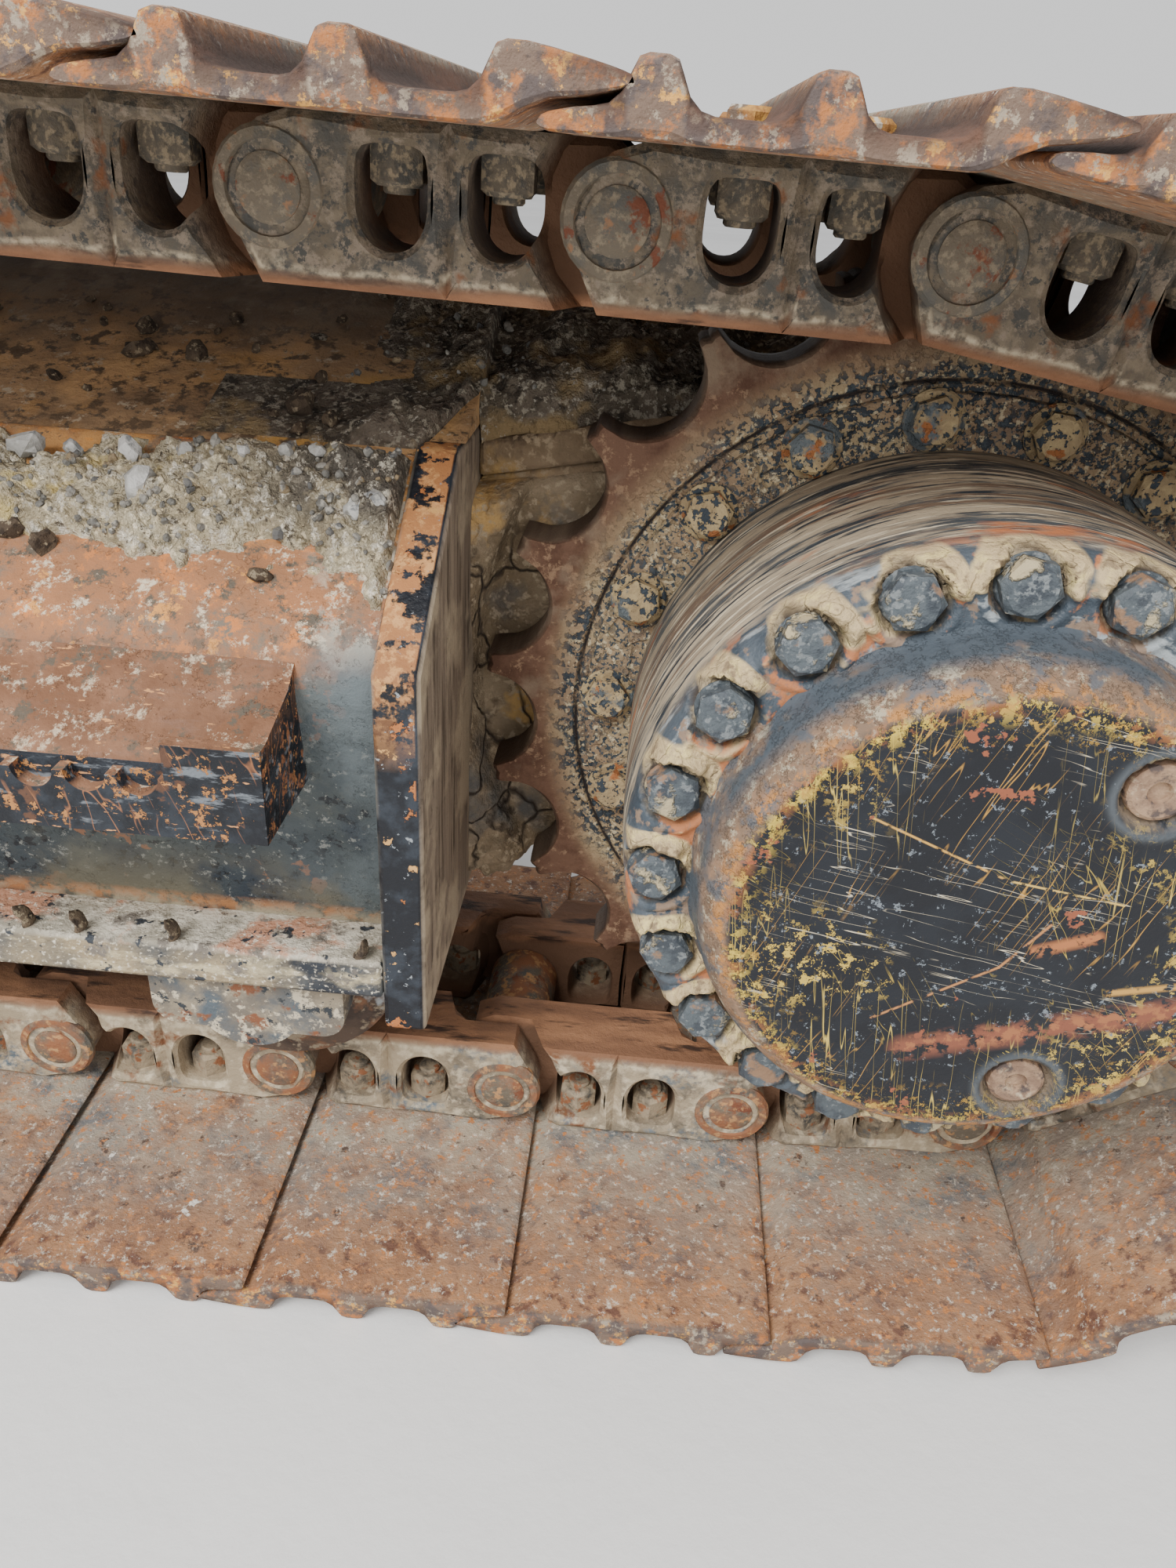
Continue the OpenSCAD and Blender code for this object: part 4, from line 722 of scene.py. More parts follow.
build("cover_shell", p, outward(p, f), cover_paint, "cover_paint", ["cover"],
      cup=(ease(d, 0.0215, 0.024) * (r < 0.149)).ravel()[kept],
      ring=(bell(d, 0.0262, 0.0026) * (r < 0.149)).ravel()[kept], smooth=60)
plug = turned([(0, 2), (6, 2), (7, 5), (15, 6), (17.5, 4.5), (18.5, 0), (0, 0)], 24)
pts, faces = bolts_on(plug_r, mid_y - 0.2815, plug_at, plug)
plug_rust = weathered("plug_rust", "#7d6452", 0.85, [
    ("#9a7f66", 0.9, spots(60, 0.45, 0.6)), ("#534742", 0.8, spots(80, 0.53, 0.6, shift=4)),
    ("#baa88d", 0.95, spots(40, 0.56, 0.62, shift=2))],
    [(0.0008, uneven(120)), (0.0003, uneven(400))])
build("plug_heads", pts, faces, plug_rust, "plug_steel", ["cover_plugs"])

# The pressed and welded frame: dark paint, rusted through on its roof and dusty on its ledges. The
# plates keep the shape of their solids, with their edges broken.
def dressed(name, material, width, body="root"):
    """A copy of a CAD node's mesh, merged, with its edges bevelled, in place of the node."""
    bm = bmesh.new()
    bm.from_mesh(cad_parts[name].data)
    bmesh.ops.remove_doubles(bm, verts=bm.verts, dist=1e-5)
    bmesh.ops.dissolve_limit(bm, angle_limit=np.radians(0.5), verts=bm.verts, edges=bm.edges)
    mesh = bpy.data.meshes.new(name + "_skin")
    bm.to_mesh(mesh)
    bm.free()
    mesh.shade_smooth()
    mesh.set_sharp_from_angle(angle=np.radians(25))
    mesh.materials.clear()
    mesh.materials.append(material)
    piece = bpy.data.objects.new(name + "_skin", mesh)
    bpy.context.scene.collection.objects.link(piece)
    edge = piece.modifiers.new("edges", "BEVEL")
    edge.width, edge.segments = width, 2
    edge.limit_method, edge.angle_limit = "ANGLE", np.radians(28)
    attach(piece, body)
    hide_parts(name)


def facing(axis, low, high):
    """0 at low to 1 at high of the surface's direction along one axis."""
    def make(tree, at):
        g = node(tree, "NewGeometry", {})
        s = node(tree, "SeparateXYZ", {0: g.outputs["Normal"]})
        return node(tree, "MapRange", {0: s.outputs[axis], 1: low, 2: high}).outputs[0]
    return make


roof_z, beam_end, ridge_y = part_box("beam")[1][2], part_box("beam")[1][0], mid_y - 0.052
bend_at = roof_z - 0.101
slope = place(2, bend_at - 0.02, bend_at + 0.012)
skin_paint_and_light = weathered("frame_skin", "#3b4347", 0.62, [
    ("#4d5351", 0.7, spots(10, 0.42, 0.62)), ("#2c353e", 0.5, spots(14, 0.50, 0.60, shift=12)),
    ("#1e2328", 0.5, grain(80, 0.575, 0.585, rough=0.7, shift=2)),
    ("#6f6e63", 0.9, spots(7, 0.50, 0.66, shift=4), grain(60, 0.46, 0.58)),
    ("#878882", 0.9, grain(120, 0.58, 0.63, shift=7)), ("#86604a", 0.85, spots(26, 0.60, 0.62, shift=9)),
    ("#94694a", 0.85, slope), ("#a3704c", 0.85, slope, spots(16, 0.44, 0.6, shift=1)),
    ("#716a5e", 0.9, slope, spots(9, 0.49, 0.6, shift=9), grain(60, 0.44, 0.56)),
    ("#c27b45", 0.85, slope, grain(40, 0.55, 0.60, shift=6)),
    ("#c8955c", 0.88, place(2, roof_z - 0.055, roof_z - 0.02), place(0, 1.2, 1.32),
     spots(16, 0.38, 0.5, shift=3)),
    ("#5c5347", 0.75, slope, grain(45, 0.54, 0.60, rough=0.78, shift=3)),
    ("#d4c3a8", 0.95, slope, grain(60, 0.56, 0.63, rough=0.8, shift=8)),
    ("#d1934f", 0.85, slope, grain(30, 0.60, 0.63, rough=0.72, shift=12)),
    ("#c4bca9", 0.97, place(0, 1.50, 1.55), place(2, bend_at - 0.03, bend_at + 0.02),
     grain(26, 0.50, 0.56, shift=5)),
    # Painted light: a lighter grey patch on the side below the bend, from x 1.47 to the end plate, where
    # light falls past the step.
    ("#5f6769", 0.8, place(0, 1.47, 1.55), place(2, bend_at + 0.03, bend_at - 0.01),
     spots(11, 0.42, 0.56, shift=13)),
    ("#6b6554", 0.85, place(2, 0.350, 0.285), spots(9, 0.48, 0.6, shift=3)),
    ("#a8764e", 0.85, place(2, 0.292, 0.284), place(2, 0.270, 0.280), grain(40, 0.44, 0.52, rough=0.7)),
    ("#a59a82", 0.95, place(2, 0.290, 0.277), spots(34, 0.42, 0.55, shift=8))],
    [(0.0006, uneven(40)), (0.0004, uneven(180)), (0.0002, uneven(700)),
     (-0.0005, spots(110, 0.585, 0.60, shift=2))])
dressed("beam", skin_paint_and_light, 0.003)
roof_rust_and_shade = weathered("roof_rust_and_shade", "#a58561", 0.88, [
    ("#80674d", 0.9, spots(7, 0.46, 0.6)), ("#c1996b", 0.9, spots(12, 0.5, 0.62, shift=3)),
    ("#b58a55", 0.9, spots(8, 0.58, 0.70, shift=6)),
    ("#b98f4f", 0.9, stroke(1.47, 0.005, 1.56, 0.03, 0.035, 0, roof_z), spots(14, 0.42, 0.60)),
    ("#64513d", 0.88, spots(60, 0.55, 0.62, shift=4)), ("#b5a58c", 0.95, grain(60, 0.58, 0.64, shift=2)),
    # Painted shade: the layers on place(1, 0.03, 0.16) darken the roof inboard, where the chain above shades
    # it.
    ("#5b4d3e", 0.85, grain(60, 0.56, 0.62, shift=8)), ("#5a5044", 0.9, place(1, 0.03, 0.16)),
    ("#847663", 0.92, place(1, 0.03, 0.16), spots(20, 0.46, 0.6))],
    [(0.0025, spots(18, 0.35, 0.7)), (0.0008, uneven(90)), (0.0003, uneven(400))])
dressed("rear_roof", roof_rust_and_shade, 0.004)
end_face = facing(0, 0.5, 0.9)
broad_face = facing(0, 0.4, 0.1)
plate_paint = weathered("plate_paint", "#15181e", 0.5, [
    ("#2c323a", 0.45, spots(26, 0.5, 0.6, shift=7)), ("#7f7162", 0.88, end_face),
    ("#978876", 0.92, end_face, spots(70, 0.45, 0.6, stretch=(1, 1, 0.06))),
    ("#5a4e42", 0.9, end_face, spots(110, 0.53, 0.62, stretch=(1, 1, 0.08), shift=3)),
    ("#a99a83", 0.95, end_face, spots(12, 0.5, 0.6, shift=9)),
    ("#ad7649", 0.85, broad_face, place(2, bend_at - 0.07, bend_at + 0.03),
     grain(26, 0.46, 0.475, rough=0.65, shift=1)),
    ("#a8693c", 0.85, broad_face, grain(26, 0.60, 0.608, rough=0.65, shift=5)),
    ("#cd9a64", 0.88, broad_face, place(2, bend_at - 0.07, bend_at + 0.03),
     grain(26, 0.44, 0.50, rough=0.65, shift=1), grain(60, 0.48, 0.56, shift=2)),
    ("#c99a5e", 0.9, broad_face, grain(50, 0.63, 0.64, rough=0.65, shift=2)),
    ("#8f9497", 0.8, broad_face, grain(120, 0.64, 0.66)),
    ("#938d80", 0.9, facing(0, -0.4, -0.9), spots(9, 0.45, 0.6))],
    [(0.0004, uneven(70)), (-0.0008, grain(26, 0.60, 0.608, rough=0.65, shift=5)), (0.0003, uneven(300)),
     (0.0005, end_face, uneven(90, stretch=(1, 1, 0.06)))])
dressed("end_plate", plate_paint, 0.004)
tread = facing(2, 0.62, 0.85)
step_paint = weathered("step_paint", "#12151b", 0.5, [
    ("#272c33", 0.5, spots(24, 0.48, 0.6)),
    # Painted sheen: the pale blue-grey streaks stand for highlights on the black paint.
    ("#6b7075", 0.5, grain(60, 0.56, 0.62, stretch=(0.25, 1, 1), rough=0.7, shift=6)),
    ("#583e30", 0.85, spots(30, 0.62, 0.65, shift=3)),
    ("#a87444", 0.85, spots(70, 0.585, 0.597, detail=9, rough=0.78, shift=5)),
    ("#9b6744", 0.85, scratches(60, 0.012, 20, length=4), spots(9, 0.48, 0.56)), ("#78543d", 0.88, tread),
    ("#8f6950", 0.9, tread, spots(14, 0.45, 0.6, shift=8)),
    ("#c4b197", 0.92, tread, grain(60, 0.56, 0.63, rough=0.8, shift=2)),
    ("#5c5347", 0.8, tread, grain(45, 0.54, 0.60, rough=0.78, shift=6)),
    ("#5f4433", 0.88, facing(0, 0.4, 0.8), place(2, 0.462, 0.500), spots(30, 0.42, 0.5)),
    ("#8a5a3c", 0.9, facing(0, 0.4, 0.8), grain(60, 0.55, 0.6, shift=2)),
    ("#c28c5c", 0.85, spots(160, 0.64, 0.66, stretch=(0.3, 1, 1), shift=4))],
    [(0.0006, uneven(50)), (0.0004, uneven(250)),
     (-0.0008, spots(70, 0.585, 0.597, detail=9, rough=0.78, shift=5))])
for name in ("step_rear", "step_front"):
    dressed(name, step_paint, 0.0025)
strip_front = facing(1, -0.5, -0.9)
strip_top = facing(2, 0.2, 0.8)
ledge_paint = weathered("ledge_paint", "#535555", 0.7, [
    ("#99896d", 0.92, strip_front, spots(12, 0.36, 0.56, shift=2)),
    ("#bbad8c", 0.95, strip_front, spots(60, 0.5, 0.6, stretch=(0.3, 1, 1), shift=6)),
    ("#2b3037", 0.5, strip_front, place(0, 1.44, 1.50), spots(20, 0.36, 0.5, shift=4)),
    ("#9f9786", 0.95, strip_top), ("#cac1af", 0.97, strip_top, spots(26, 0.42, 0.56)),
    ("#b9886c", 0.85, strip_top, spots(14, 0.52, 0.58, shift=5)), ("#766e64", 0.85, spots(40, 0.55, 0.62)),
    ("#dbd2be", 0.97, spots(260, 0.56, 0.72, detail=2, shift=9)),
    ("#35393e", 0.55, spots(60, 0.60, 0.63, shift=8))],
    [(0.0012, spots(40, 0.35, 0.7)), (0.0006, uneven(160)), (0.002, strip_top, spots(26, 0.42, 0.56))])
dressed("foot_strips", ledge_paint, 0.004)
clay_skin = weathered("clay_skin", "#76644e", 0.95, [
    ("#8c7860", 0.97, spots(18, 0.44, 0.6)), ("#5a4a3a", 0.95, spots(26, 0.54, 0.62, shift=4)),
    ("#ab8d5c", 0.97, spots(9, 0.57, 0.66, shift=7)), ("#9c8a70", 0.97, spots(120, 0.54, 0.62, shift=3)),
    ("#3a3028", 0.9, cracks(16, 0.0016), spots(6, 0.44, 0.54))],
    [(0.003, spots(22, 0.35, 0.65)), (0.0012, uneven(90)), (0.0005, uneven(350)),
     (-0.003, cracks(16, 0.0016), spots(6, 0.44, 0.54))])
for name in ("drive_plate", "mud_hood"):
    dressed(name, clay_skin, 0.004)
for name in ("front_fork", "front_plate", "saddle_rear", "saddle_front", "flange_rear", "flange_front",
             "chain_guards", "carrier_posts", "motor_guard"):
    dressed(name, skin_paint_and_light, 0.003)

# Running gear that keeps its solids: rollers, their shafts and lobed collars, the carriers, the idler
# with its shaft and blocks, the tension yoke, the spring, the spindle and the travel motor.
gear_dust = weathered("gear_dust", "#6d655a", 0.85, [
    ("#515a60", 0.65, spots(15, 0.46, 0.6)), ("#8f836f", 0.93, spots(26, 0.48, 0.62, shift=3)),
    ("#a8997f", 0.96, facing(2, 0.1, 0.8), spots(30, 0.4, 0.58, shift=8)),
    ("#7a4e36", 0.88, spots(34, 0.57, 0.62, shift=5)), ("#c0b49c", 0.97, grain(80, 0.53, 0.60, shift=2)),
    ("#2f3438", 0.55, grain(70, 0.57, 0.60, rough=0.72, shift=6))],
    [(0.0008, uneven(60)), (0.0004, uneven(250))])
roller_wear = weathered("roller_wear", "#584a40", 0.75, [
    ("#3f3631", 0.75, spots(20, 0.45, 0.6)), ("#7b5a44", 0.85, spots(34, 0.52, 0.62, shift=4)),
    ("#8f826e", 0.94, spots(80, 0.55, 0.62, shift=2)),
    ("#9aa0a2", 0.3, spots(40, 0.6, 0.64, stretch=(0.3, 1, 0.3)))],
    [(0.0008, uneven(60)), (0.0004, uneven(250))])
motor_dust = weathered("motor_dust", "#3e4144", 0.6, [
    ("#5d5850", 0.85, spots(16, 0.44, 0.6)),
    ("#857a68", 0.95, facing(2, 0.0, 0.8), spots(12, 0.38, 0.58, shift=3)),
    ("#262a2e", 0.45, spots(30, 0.54, 0.62, shift=5)), ("#7a5036", 0.85, spots(40, 0.60, 0.63, shift=7))],
    [(0.0006, uneven(80)), (0.0003, uneven(300))])
for name in ("collars_outer", "collars_inner", "roller_shafts"):
    dressed(name, gear_dust, 0.003)
for name in ("idler_blocks", "yoke"):
    dressed(name, gear_dust, 0.003, "idler_yoke")
wheels = ["carrier_rear_roller", "carrier_front_roller"] + ["roller_%d" % k for k in range(1, 9)]
for names, material in ((wheels + ["idler", "idler_shaft", "recoil_spring"], roller_wear),
                        (["travel_motor", "spindle"], motor_dust)):
    for name in names:
        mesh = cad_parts[name].data
        mesh.materials.clear()
        mesh.materials.append(material)

# Dried clay on the drive plate: a thick, cracked skin that fills the corner behind the end plate and
# hangs below the plate in a ragged edge. Its thickness is a fillet plus lumps, thin behind the teeth.
x_in, plate_y = beam_end + 0.032, 0.0155
u, v = np.meshgrid(np.linspace(0, 1, 136), np.linspace(0, 1, 220), indexing="ij")
x = x_in - 0.002 + 0.21 * u
z_low = np.interp(x, [1.595, 1.628, 1.642, 1.660, 1.70, 1.80], [0.200, 0.203, 0.232, 0.250, 0.262, 0.268])
z_low = z_low + 0.006 * wobble(x, 0 * x + 2.0, 0.014, 21)
z_top = np.interp(x, [1.595, 1.70, 1.80], [0.572, 0.590, 0.610])
z = z_low + (z_top - z_low) * v
from_hub = np.hypot(x - hub_x, z - hub_z)
thick = 0.008 + 0.030 * np.exp(-(x - x_in) / 0.016) + 0.014 * np.clip(wobble(x, z, 0.06, 22), -0.3, 1)
thick = thick + 0.012 * np.clip(wobble(x, z, 0.03, 23) - 0.1, 0, 1) + 0.0022 * wobble(x, z, 0.008, 24)
thick = thick * ease(-z, -0.235, -0.215) + 0.010 * ease(z, 0.215, 0.235)
roomy = 1 - ease(from_hub, 0.347, 0.362)
thick = np.minimum(thick, 0.0065 + 0.034 * roomy)
edge = np.sqrt(np.clip(np.minimum(np.minimum(v, 1 - v) / 0.03, (1 - u) / 0.03), 0, 1))
y_face = plate_y + 0.004 - (thick + 0.004) * edge
bottom_y = np.where(z < 0.262, y_face + 0.018 * edge + 0.0005, plate_y + 0.006)
bottom_y = np.maximum(bottom_y, y_face + 0.0004)
points, faces = slab(np.stack([x, y_face, z], -1), np.stack([x, bottom_y, z], -1))
web_clay = weathered("web_clay", "#84735b", 0.96, [
    ("#9a8971", 0.97, spots(14, 0.44, 0.6)), ("#6c5c49", 0.96, spots(30, 0.52, 0.62, shift=4)),
    ("#c29f69", 0.97, spots(9, 0.58, 0.64, shift=7)), ("#ae9d83", 0.97, spots(130, 0.53, 0.62, shift=3)),
    ("#676561", 0.95, spots(8, 0.55, 0.66, shift=9)),
    ("#40362e", 0.9, cracks(14, 0.0018), spots(6, 0.42, 0.52))],
    [(0.002, spots(40, 0.35, 0.65)), (0.0012, uneven(120)), (0.0005, uneven(400)),
     (-0.003, cracks(14, 0.0018), spots(6, 0.42, 0.52))])
build("clay_web", points, faces, web_clay, "clay_steel", smooth=50)

# Soil that the chain dropped: gravelly earth on the hood and on the rear end of the roof, as a height
# over the plates, and a light mound of sand and stones on the roof's outer slope.
roof_fall, roof_start = 0.36, 0.0715


def roof_height(x, y):
    """The height of the rear roof or of the hood's top under a point."""
    rear = roof_z + 0.0006 + roof_fall * (y + roof_start)
    hood = np.interp(x, [1.5956, 1.70, 1.80, 1.88, 1.95, 2.03], [0.603, 0.626, 0.648, 0.662, 0.668, 0.662])
    return np.where(x < x_in, rear, hood)


u, v = np.meshgrid(np.linspace(0, 1, 225), np.linspace(0, 1, 96), indexing="ij")
x, y = 1.40 + 0.56 * u, 0.0125 + 0.160 * v
y = y - 0.075 * ease(x, 1.56, 1.60) * (1 - v)
base = roof_height(x, y)
bank = roof_z + roof_fall * (y + roof_start) + 0.004
bank = bank + 0.010 * wobble(x, y, 0.05, 31) + 0.003 * wobble(x, y, 0.012, 32)
fill = np.clip(0.30 + 0.9 * wobble(x, y, 0.09, 33) + (x - 1.50) / 0.06, 0, 1) * ease(x, 1.84, 1.955)
thin = 0.004 + 0.016 * np.clip(wobble(x, y, 0.05, 34) + 0.3, 0, 1) + 0.003 * wobble(x, y, 0.011, 35)
level = base + np.where(x < x_in, thin, np.maximum(bank - base, 0.002)) * fill
side = np.clip(np.minimum(np.minimum(u, 1 - u) / 0.02, np.minimum(v, 1 - v) / 0.05), 0, 1)
level = base + (level - base) * np.sqrt(side) * (fill > 0.02)
level = level - 0.0012 * (fill <= 0.02) - 0.0012 * (side < 0.05)
y_side = y - 0.004 * wobble(x, level, 0.03, 36) * (v < 0.2) * (x > 1.6)
under = np.minimum(base, level) - 0.003
points, faces = slab(np.stack([x, y_side, level], -1), np.stack([x, y_side, under], -1))
# The hood soil's dark colour is partly dark mud and partly painted shade from the chain above.
dark_soil_and_shade = weathered("dark_soil_and_shade", "#5b5245", 0.97, [
    ("#72675a", 0.97, spots(30, 0.44, 0.6)), ("#3d362e", 0.95, spots(60, 0.5, 0.6, shift=4)),
    ("#98907f", 0.97, spots(170, 0.54, 0.6, shift=7)), ("#8f7a58", 0.97, spots(14, 0.55, 0.64, shift=3)),
    ("#a39c8e", 0.9, grain(120, 0.60, 0.63, shift=9))],
    [(0.003, spots(60, 0.35, 0.65)), (0.002, spots(160, 0.35, 0.65)), (0.0006, uneven(500))])
build("soil_on_hood", points, faces, dark_soil_and_shade, "clay_steel", smooth=60)

# The slope goes out by slope_run and down by slope_fall for each metre along it.
slope_run, slope_fall = 0.815, 0.58
u, v = np.meshgrid(np.linspace(0, 1, 280), np.linspace(0, 1, 96), indexing="ij")
x, down = 1.12 + 0.4415 * u, 0.004 + 0.125 * v
slope_y, slope_z = ridge_y - down * slope_run, roof_z - down * slope_fall
blobs = [(1.30, 0.062, 0.085, 0.032), (1.38, 0.060, 0.070, 0.036), (1.44, 0.050, 0.050, 0.032),
         (1.52, 0.030, 0.055, 0.034), (1.545, 0.075, 0.035, 0.050), (1.21, 0.055, 0.060, 0.024),
         (1.48, 0.022, 0.06, 0.018)]
heap = sum(np.exp(-((x - a) / c) ** 2 - ((down - b) / e) ** 2) for a, b, c, e in blobs)
heap = np.clip(heap * 1.15 + 0.42 * wobble(x, down, 0.045, 41) - 0.50, 0, 1)
lift = 0.016 * np.sqrt(heap) * (1 + 0.35 * wobble(x, down, 0.02, 42))
lift = lift + 0.0026 * (heap > 0) * wobble(x, down, 0.007, 43)
side = np.clip(np.minimum(np.minimum(u, 1 - u) / 0.01, np.minimum(v, 1 - v) / 0.03), 0, 1)
lift = np.where(heap > 0, np.maximum(lift, 0) * side + 0.0004, -0.0012)
mound = np.stack([x, slope_y - slope_fall * lift, slope_z + slope_run * lift], -1)
points, faces = slab(mound, np.stack([x, slope_y + 0.0024, slope_z - 0.0033], -1))
pale_soil = weathered("pale_soil", "#bdae8f", 0.97, [
    ("#d8cbac", 0.97, spots(40, 0.42, 0.58)), ("#a09377", 0.95, spots(60, 0.54, 0.62, shift=4)),
    ("#676056", 0.97, place(0, 1.43, 1.50), place(2, roof_z - 0.045, roof_z - 0.02),
     spots(20, 0.36, 0.48, shift=2)),
    ("#e6ddc9", 0.97, grain(90, 0.52, 0.60, rough=0.8, shift=7)),
    ("#6c6354", 0.97, grain(90, 0.57, 0.62, rough=0.8, shift=3)),
    ("#d8c284", 0.97, spots(13, 0.60, 0.66, shift=8))],
    [(0.003, spots(60, 0.35, 0.65)), (0.004, spots(150, 0.4, 0.6)), (0.0006, uneven(500))])
build("soil_on_slope", points, faces, pale_soil, "clay_steel", smooth=60)

# Stones and clods on the soil: broken gravel of grey and pale rock, a few as large as a walnut, and dark
# clods of clay on the bare rust beside it.
def pebbles(centres, sizes, ups, seed):
    """Rounded stones of 40 faces: a coarse ball whose points are moved at random, flattened along its
    own up and turned at random, about a third sunk where it lies."""
    rng = np.random.default_rng(seed)
    ring, n = np.radians([-90, -48, -8, 32, 62, 90]), 8
    t = np.arange(n) * 2 * np.pi / n
    ball = np.stack([np.outer(np.cos(ring), np.cos(t)), np.outer(np.cos(ring), np.sin(t)),
                     np.outer(np.sin(ring), np.ones(n))], -1).transpose(1, 0, 2)
    p, f, _ = weld(ball.reshape(-1, 3), grid(n, len(ring), around=True))
    f = outward(p, f)
    k = len(centres)
    shape = p[None] * (1 + rng.uniform(-0.22, 0.22, (k, len(p), 1)))
    shape = shape * rng.uniform(0.6, 1.15, (k, 1, 3)) * [1, 1, 0.8]
    q = rng.normal(size=(k, 4))
    w, a, b, c = (q / np.linalg.norm(q, axis=1)[:, None]).T
    turn = np.stack([1 - 2 * (b * b + c * c), 2 * (a * b - c * w), 2 * (a * c + b * w), 2 * (a * b + c * w),
                     1 - 2 * (a * a + c * c), 2 * (b * c - a * w), 2 * (a * c - b * w), 2 * (b * c + a * w),
                     1 - 2 * (a * a + b * b)], -1).reshape(k, 3, 3)
    size = sizes[:, None, None]
    many = np.einsum("kij,kvj->kvi", turn, shape) * size + centres[:, None] + ups * size * 0.3
    shift = np.arange(k)[:, None, None] * len(p)
    return many.reshape(-1, 3), np.where(f[None] < 0, -1, f[None] + shift).reshape(-1, 4)


rng = np.random.default_rng(51)
n_gravel = 190
chance = heap * (1 + 2 * (heap < 0.5))
pick = rng.choice(heap.size, n_gravel, replace=False, p=chance.ravel() / chance.sum())
up = np.array([0, -slope_fall, slope_run])
spot = mound.reshape(-1, 3)[pick]
sizes = 0.0016 * np.exp(rng.normal(0, 0.45, n_gravel)) + 0.0012
stone_grey = weathered("stone_grey", "#6c6a64", 0.85, [
    ("#8f8b82", 0.85, spots(40, 0.50, 0.56)), ("#605f5d", 0.8, spots(32, 0.55, 0.58, shift=4)),
    ("#8b7a5f", 0.9, spots(24, 0.58, 0.62, shift=8)), ("#aaa599", 0.9, spots(120, 0.58, 0.64, shift=2))],
    [(0.0005, uneven(200)), (0.0003, uneven(600))])
build("gravel_on_slope", *pebbles(spot, sizes, up, 52), stone_grey, "clay_steel", smooth=25)
big = np.array([[1.302, 0.028, 0.0125], [1.372, 0.024, 0.0115], [1.386, 0.052, 0.0125], [1.447, 0.036, 0.009],
                [1.452, 0.020, 0.008], [1.535, 0.058, 0.010], [1.548, 0.052, 0.011], [1.335, 0.030, 0.009],
                [1.478, 0.014, 0.008], [1.500, 0.012, 0.007], [1.27, 0.07, 0.010], [1.41, 0.022, 0.007]])
spot = np.stack([big[:, 0], -roof_start - big[:, 1] * slope_run - 0.006,
                 roof_z - big[:, 1] * slope_fall + 0.008], -1)
stone_pale = weathered("stone_pale", "#a3a19b", 0.8, [
    ("#bfbdb8", 0.8, spots(40, 0.50, 0.58)), ("#818281", 0.8, spots(60, 0.55, 0.6, shift=4)),
    ("#a69270", 0.9, spots(30, 0.6, 0.64, shift=8))],
    [(0.0006, uneven(160)), (0.0003, uneven(600))])
build("pale_stones", *pebbles(spot, big[:, 2], up, 53), stone_pale, "clay_steel", smooth=25)
clods = np.array([[1.305, 0.088, 0.012], [1.330, 0.100, 0.010], [1.452, 0.078, 0.009], [1.478, 0.110, 0.008],
                  [1.295, 0.108, 0.007], [1.41, 0.088, 0.006]])
spot = np.stack([clods[:, 0], -roof_start - clods[:, 1] * slope_run, roof_z - clods[:, 1] * slope_fall], -1)
n_clods = 26
on_roof = np.stack([rng.uniform(1.14, 1.50, n_clods), rng.uniform(-0.055, 0.10, n_clods)], -1)
roof_spot = np.column_stack([on_roof, roof_z + roof_fall * (on_roof[:, 1] + roof_start)])
spot = np.concatenate([spot, roof_spot])
sizes = np.concatenate([clods[:, 2], 0.004 + 0.009 * rng.random(n_clods) ** 2])
clod_clay = weathered("clod_clay", "#4c4034", 0.97, [
    ("#665746", 0.97, spots(50, 0.46, 0.6)), ("#332a22", 0.95, spots(90, 0.52, 0.6, shift=3)),
    ("#8d7f68", 0.97, spots(200, 0.56, 0.62, shift=5))],
    [(0.0012, uneven(120)), (0.0005, uneven(400))])
build("clay_clods", *pebbles(spot, sizes, up, 54), clod_clay, "clay_steel", smooth=40)
n_hood = 90
places = np.stack([rng.uniform(1.50, 1.80, n_hood), rng.uniform(0.0, 0.165, n_hood)], -1)
places[:, 1] = np.where(places[:, 0] > x_in, np.maximum(places[:, 1], 0.018), places[:, 1])
high = np.where(places[:, 0] < x_in, 0.006, 0.001) + roof_z
spot = np.column_stack([places, high + roof_fall * (places[:, 1] + roof_start) + 0.002])
sizes = 0.0016 + 0.0036 * rng.random(n_hood) ** 3
points, faces = pebbles(spot, sizes, np.array([0, 0, 1.0]), 55)
build("gravel_on_hood", points, faces, stone_grey, "clay_steel", smooth=25)

# Stubs of torn weld along the ledge, where small clips were knocked off: bent steel, rusted and packed
# with dust. Each is a short bar with a bent top.
stub_x = np.array([1.165, 1.245, 1.293, 1.332, 1.403, 1.540])
rows, n = 7, 10
s, a = np.meshgrid(np.linspace(0, 1, rows), np.arange(n) * 2 * np.pi / n, indexing="ij")
wide = 0.0045 * np.sqrt(np.clip(1.02 - s ** 6, 0, 1)) * (1 + 0.15 * np.sin(5 * s + 2 * a))
bar = np.stack([wide * np.cos(a) * 0.8 + 0.004 * np.sin(3 * s), wide * np.sin(a) * 1.6 - 0.006 * s ** 2,
                0.024 * s], -1)
p, f = bar.reshape(-1, 3), grid(rows, n, closed=True)
p = np.concatenate([p, [[0, 0, 0], [bar[-1, :, 0].mean(), bar[-1, :, 1].mean(), 0.025]]])
i, last = np.arange(n), (rows - 1) * n
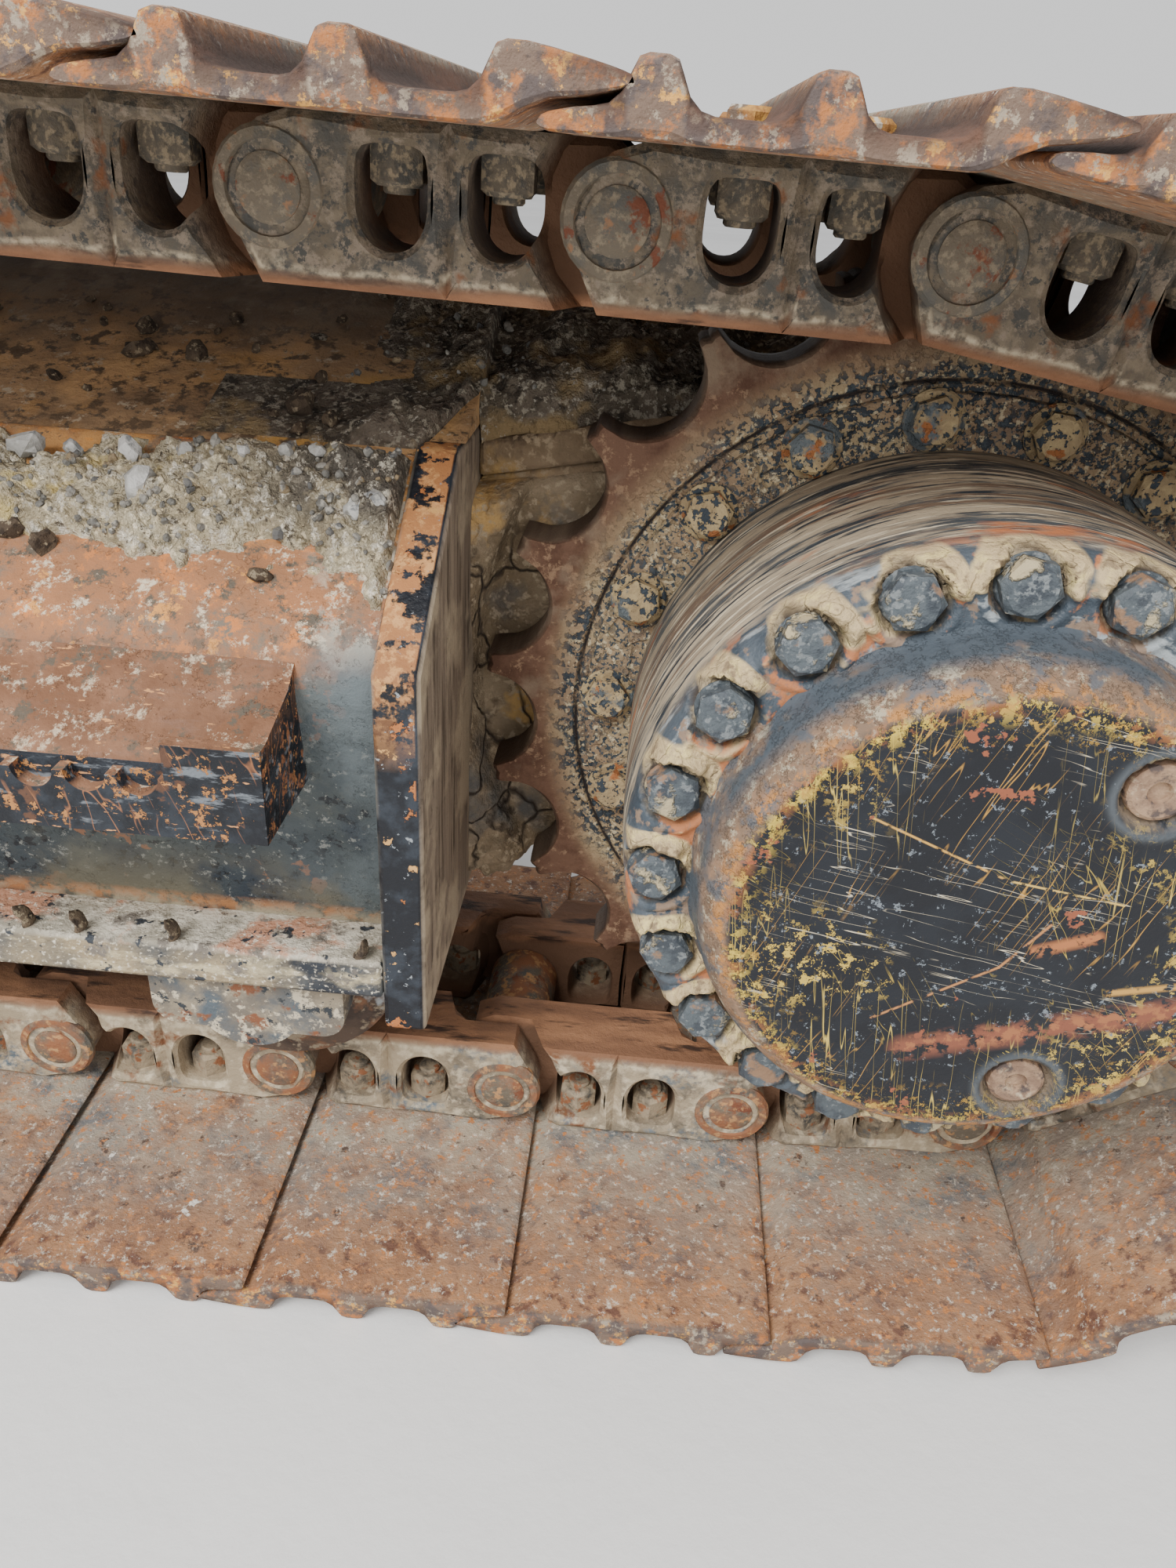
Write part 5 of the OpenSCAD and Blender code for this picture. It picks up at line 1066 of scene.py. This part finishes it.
f = np.concatenate([f, np.stack([(i + 1) % n, i, 0 * i + rows * n, 0 * i - 1], -1),
                    np.stack([last + i, last + (i + 1) % n, 0 * i + rows * n + 1, 0 * i - 1], -1)])
lean = np.radians(rng.uniform(-25, 25, len(stub_x)))
turns = mixing(np.cos(lean), np.sin(lean), -np.sin(lean), np.cos(lean))
stub_at = np.stack([stub_x, 0 * stub_x - 0.2095, 0 * stub_x + 0.270], -1)
many, faces = copies(p, outward(p, f), turns, stub_at)
build("weld_stubs", many, faces, clod_clay, "frame_paint", smooth=50)


# Plain soft studio light and a pale floor; the background is white where the camera, a gloss or a
# clear part looks at it.
world = bpy.data.worlds.new("studio")
world.use_nodes = True
tree = world.node_tree
background = tree.nodes["Background"]
seen = node(tree, "LightPath", {})
either = seen.outputs["Is Camera Ray"]
for ray in ("Is Glossy Ray", "Is Transmission Ray"):
    either = node(tree, "Math", {0: either, 1: seen.outputs[ray]}, operation="MAXIMUM").outputs[0]
tint = node(tree, "Mix", {0: either, 6: (0.84, 0.86, 0.90, 1), 7: (1, 1, 1, 1)}, data_type="RGBA")
tree.links.new(tint.outputs[2], background.inputs["Color"])
bpy.context.scene.world = world
for name, stand, size, power in (("key", (hub_x - 2.2, -3.2, 4.2), 2.6, 410),
                                 ("fill", (hub_x + 2.6, -3.5, 2.2), 3.0, 70)):
    lamp = bpy.data.lights.new(name, "AREA")
    lamp.size, lamp.energy = size, power
    lamp_object = bpy.data.objects.new(name, lamp)
    lamp_object.location = stand
    aim = np.array([hub_x, -0.2, hub_z]) - stand
    lamp_object.rotation_euler = Vector(aim).to_track_quat("-Z", "Y").to_euler()
    bpy.context.scene.collection.objects.link(lamp_object)
floor_mesh = bpy.data.meshes.new("floor")
floor_mesh.from_pydata([(-30, -30, 0), (30, -30, 0), (30, 30, 0), (-30, 30, 0)], [], [(0, 1, 2, 3)])
floor_mesh.materials.append(weathered("floor_paint", "#e9e7e3", 0.9, [("#e2e0dc", 0.9, spots(0.7, 0.4, 0.6))],
                                      [(0.0005, uneven(30))]))
floor = bpy.data.objects.new("floor", floor_mesh)
bpy.context.scene.collection.objects.link(floor)
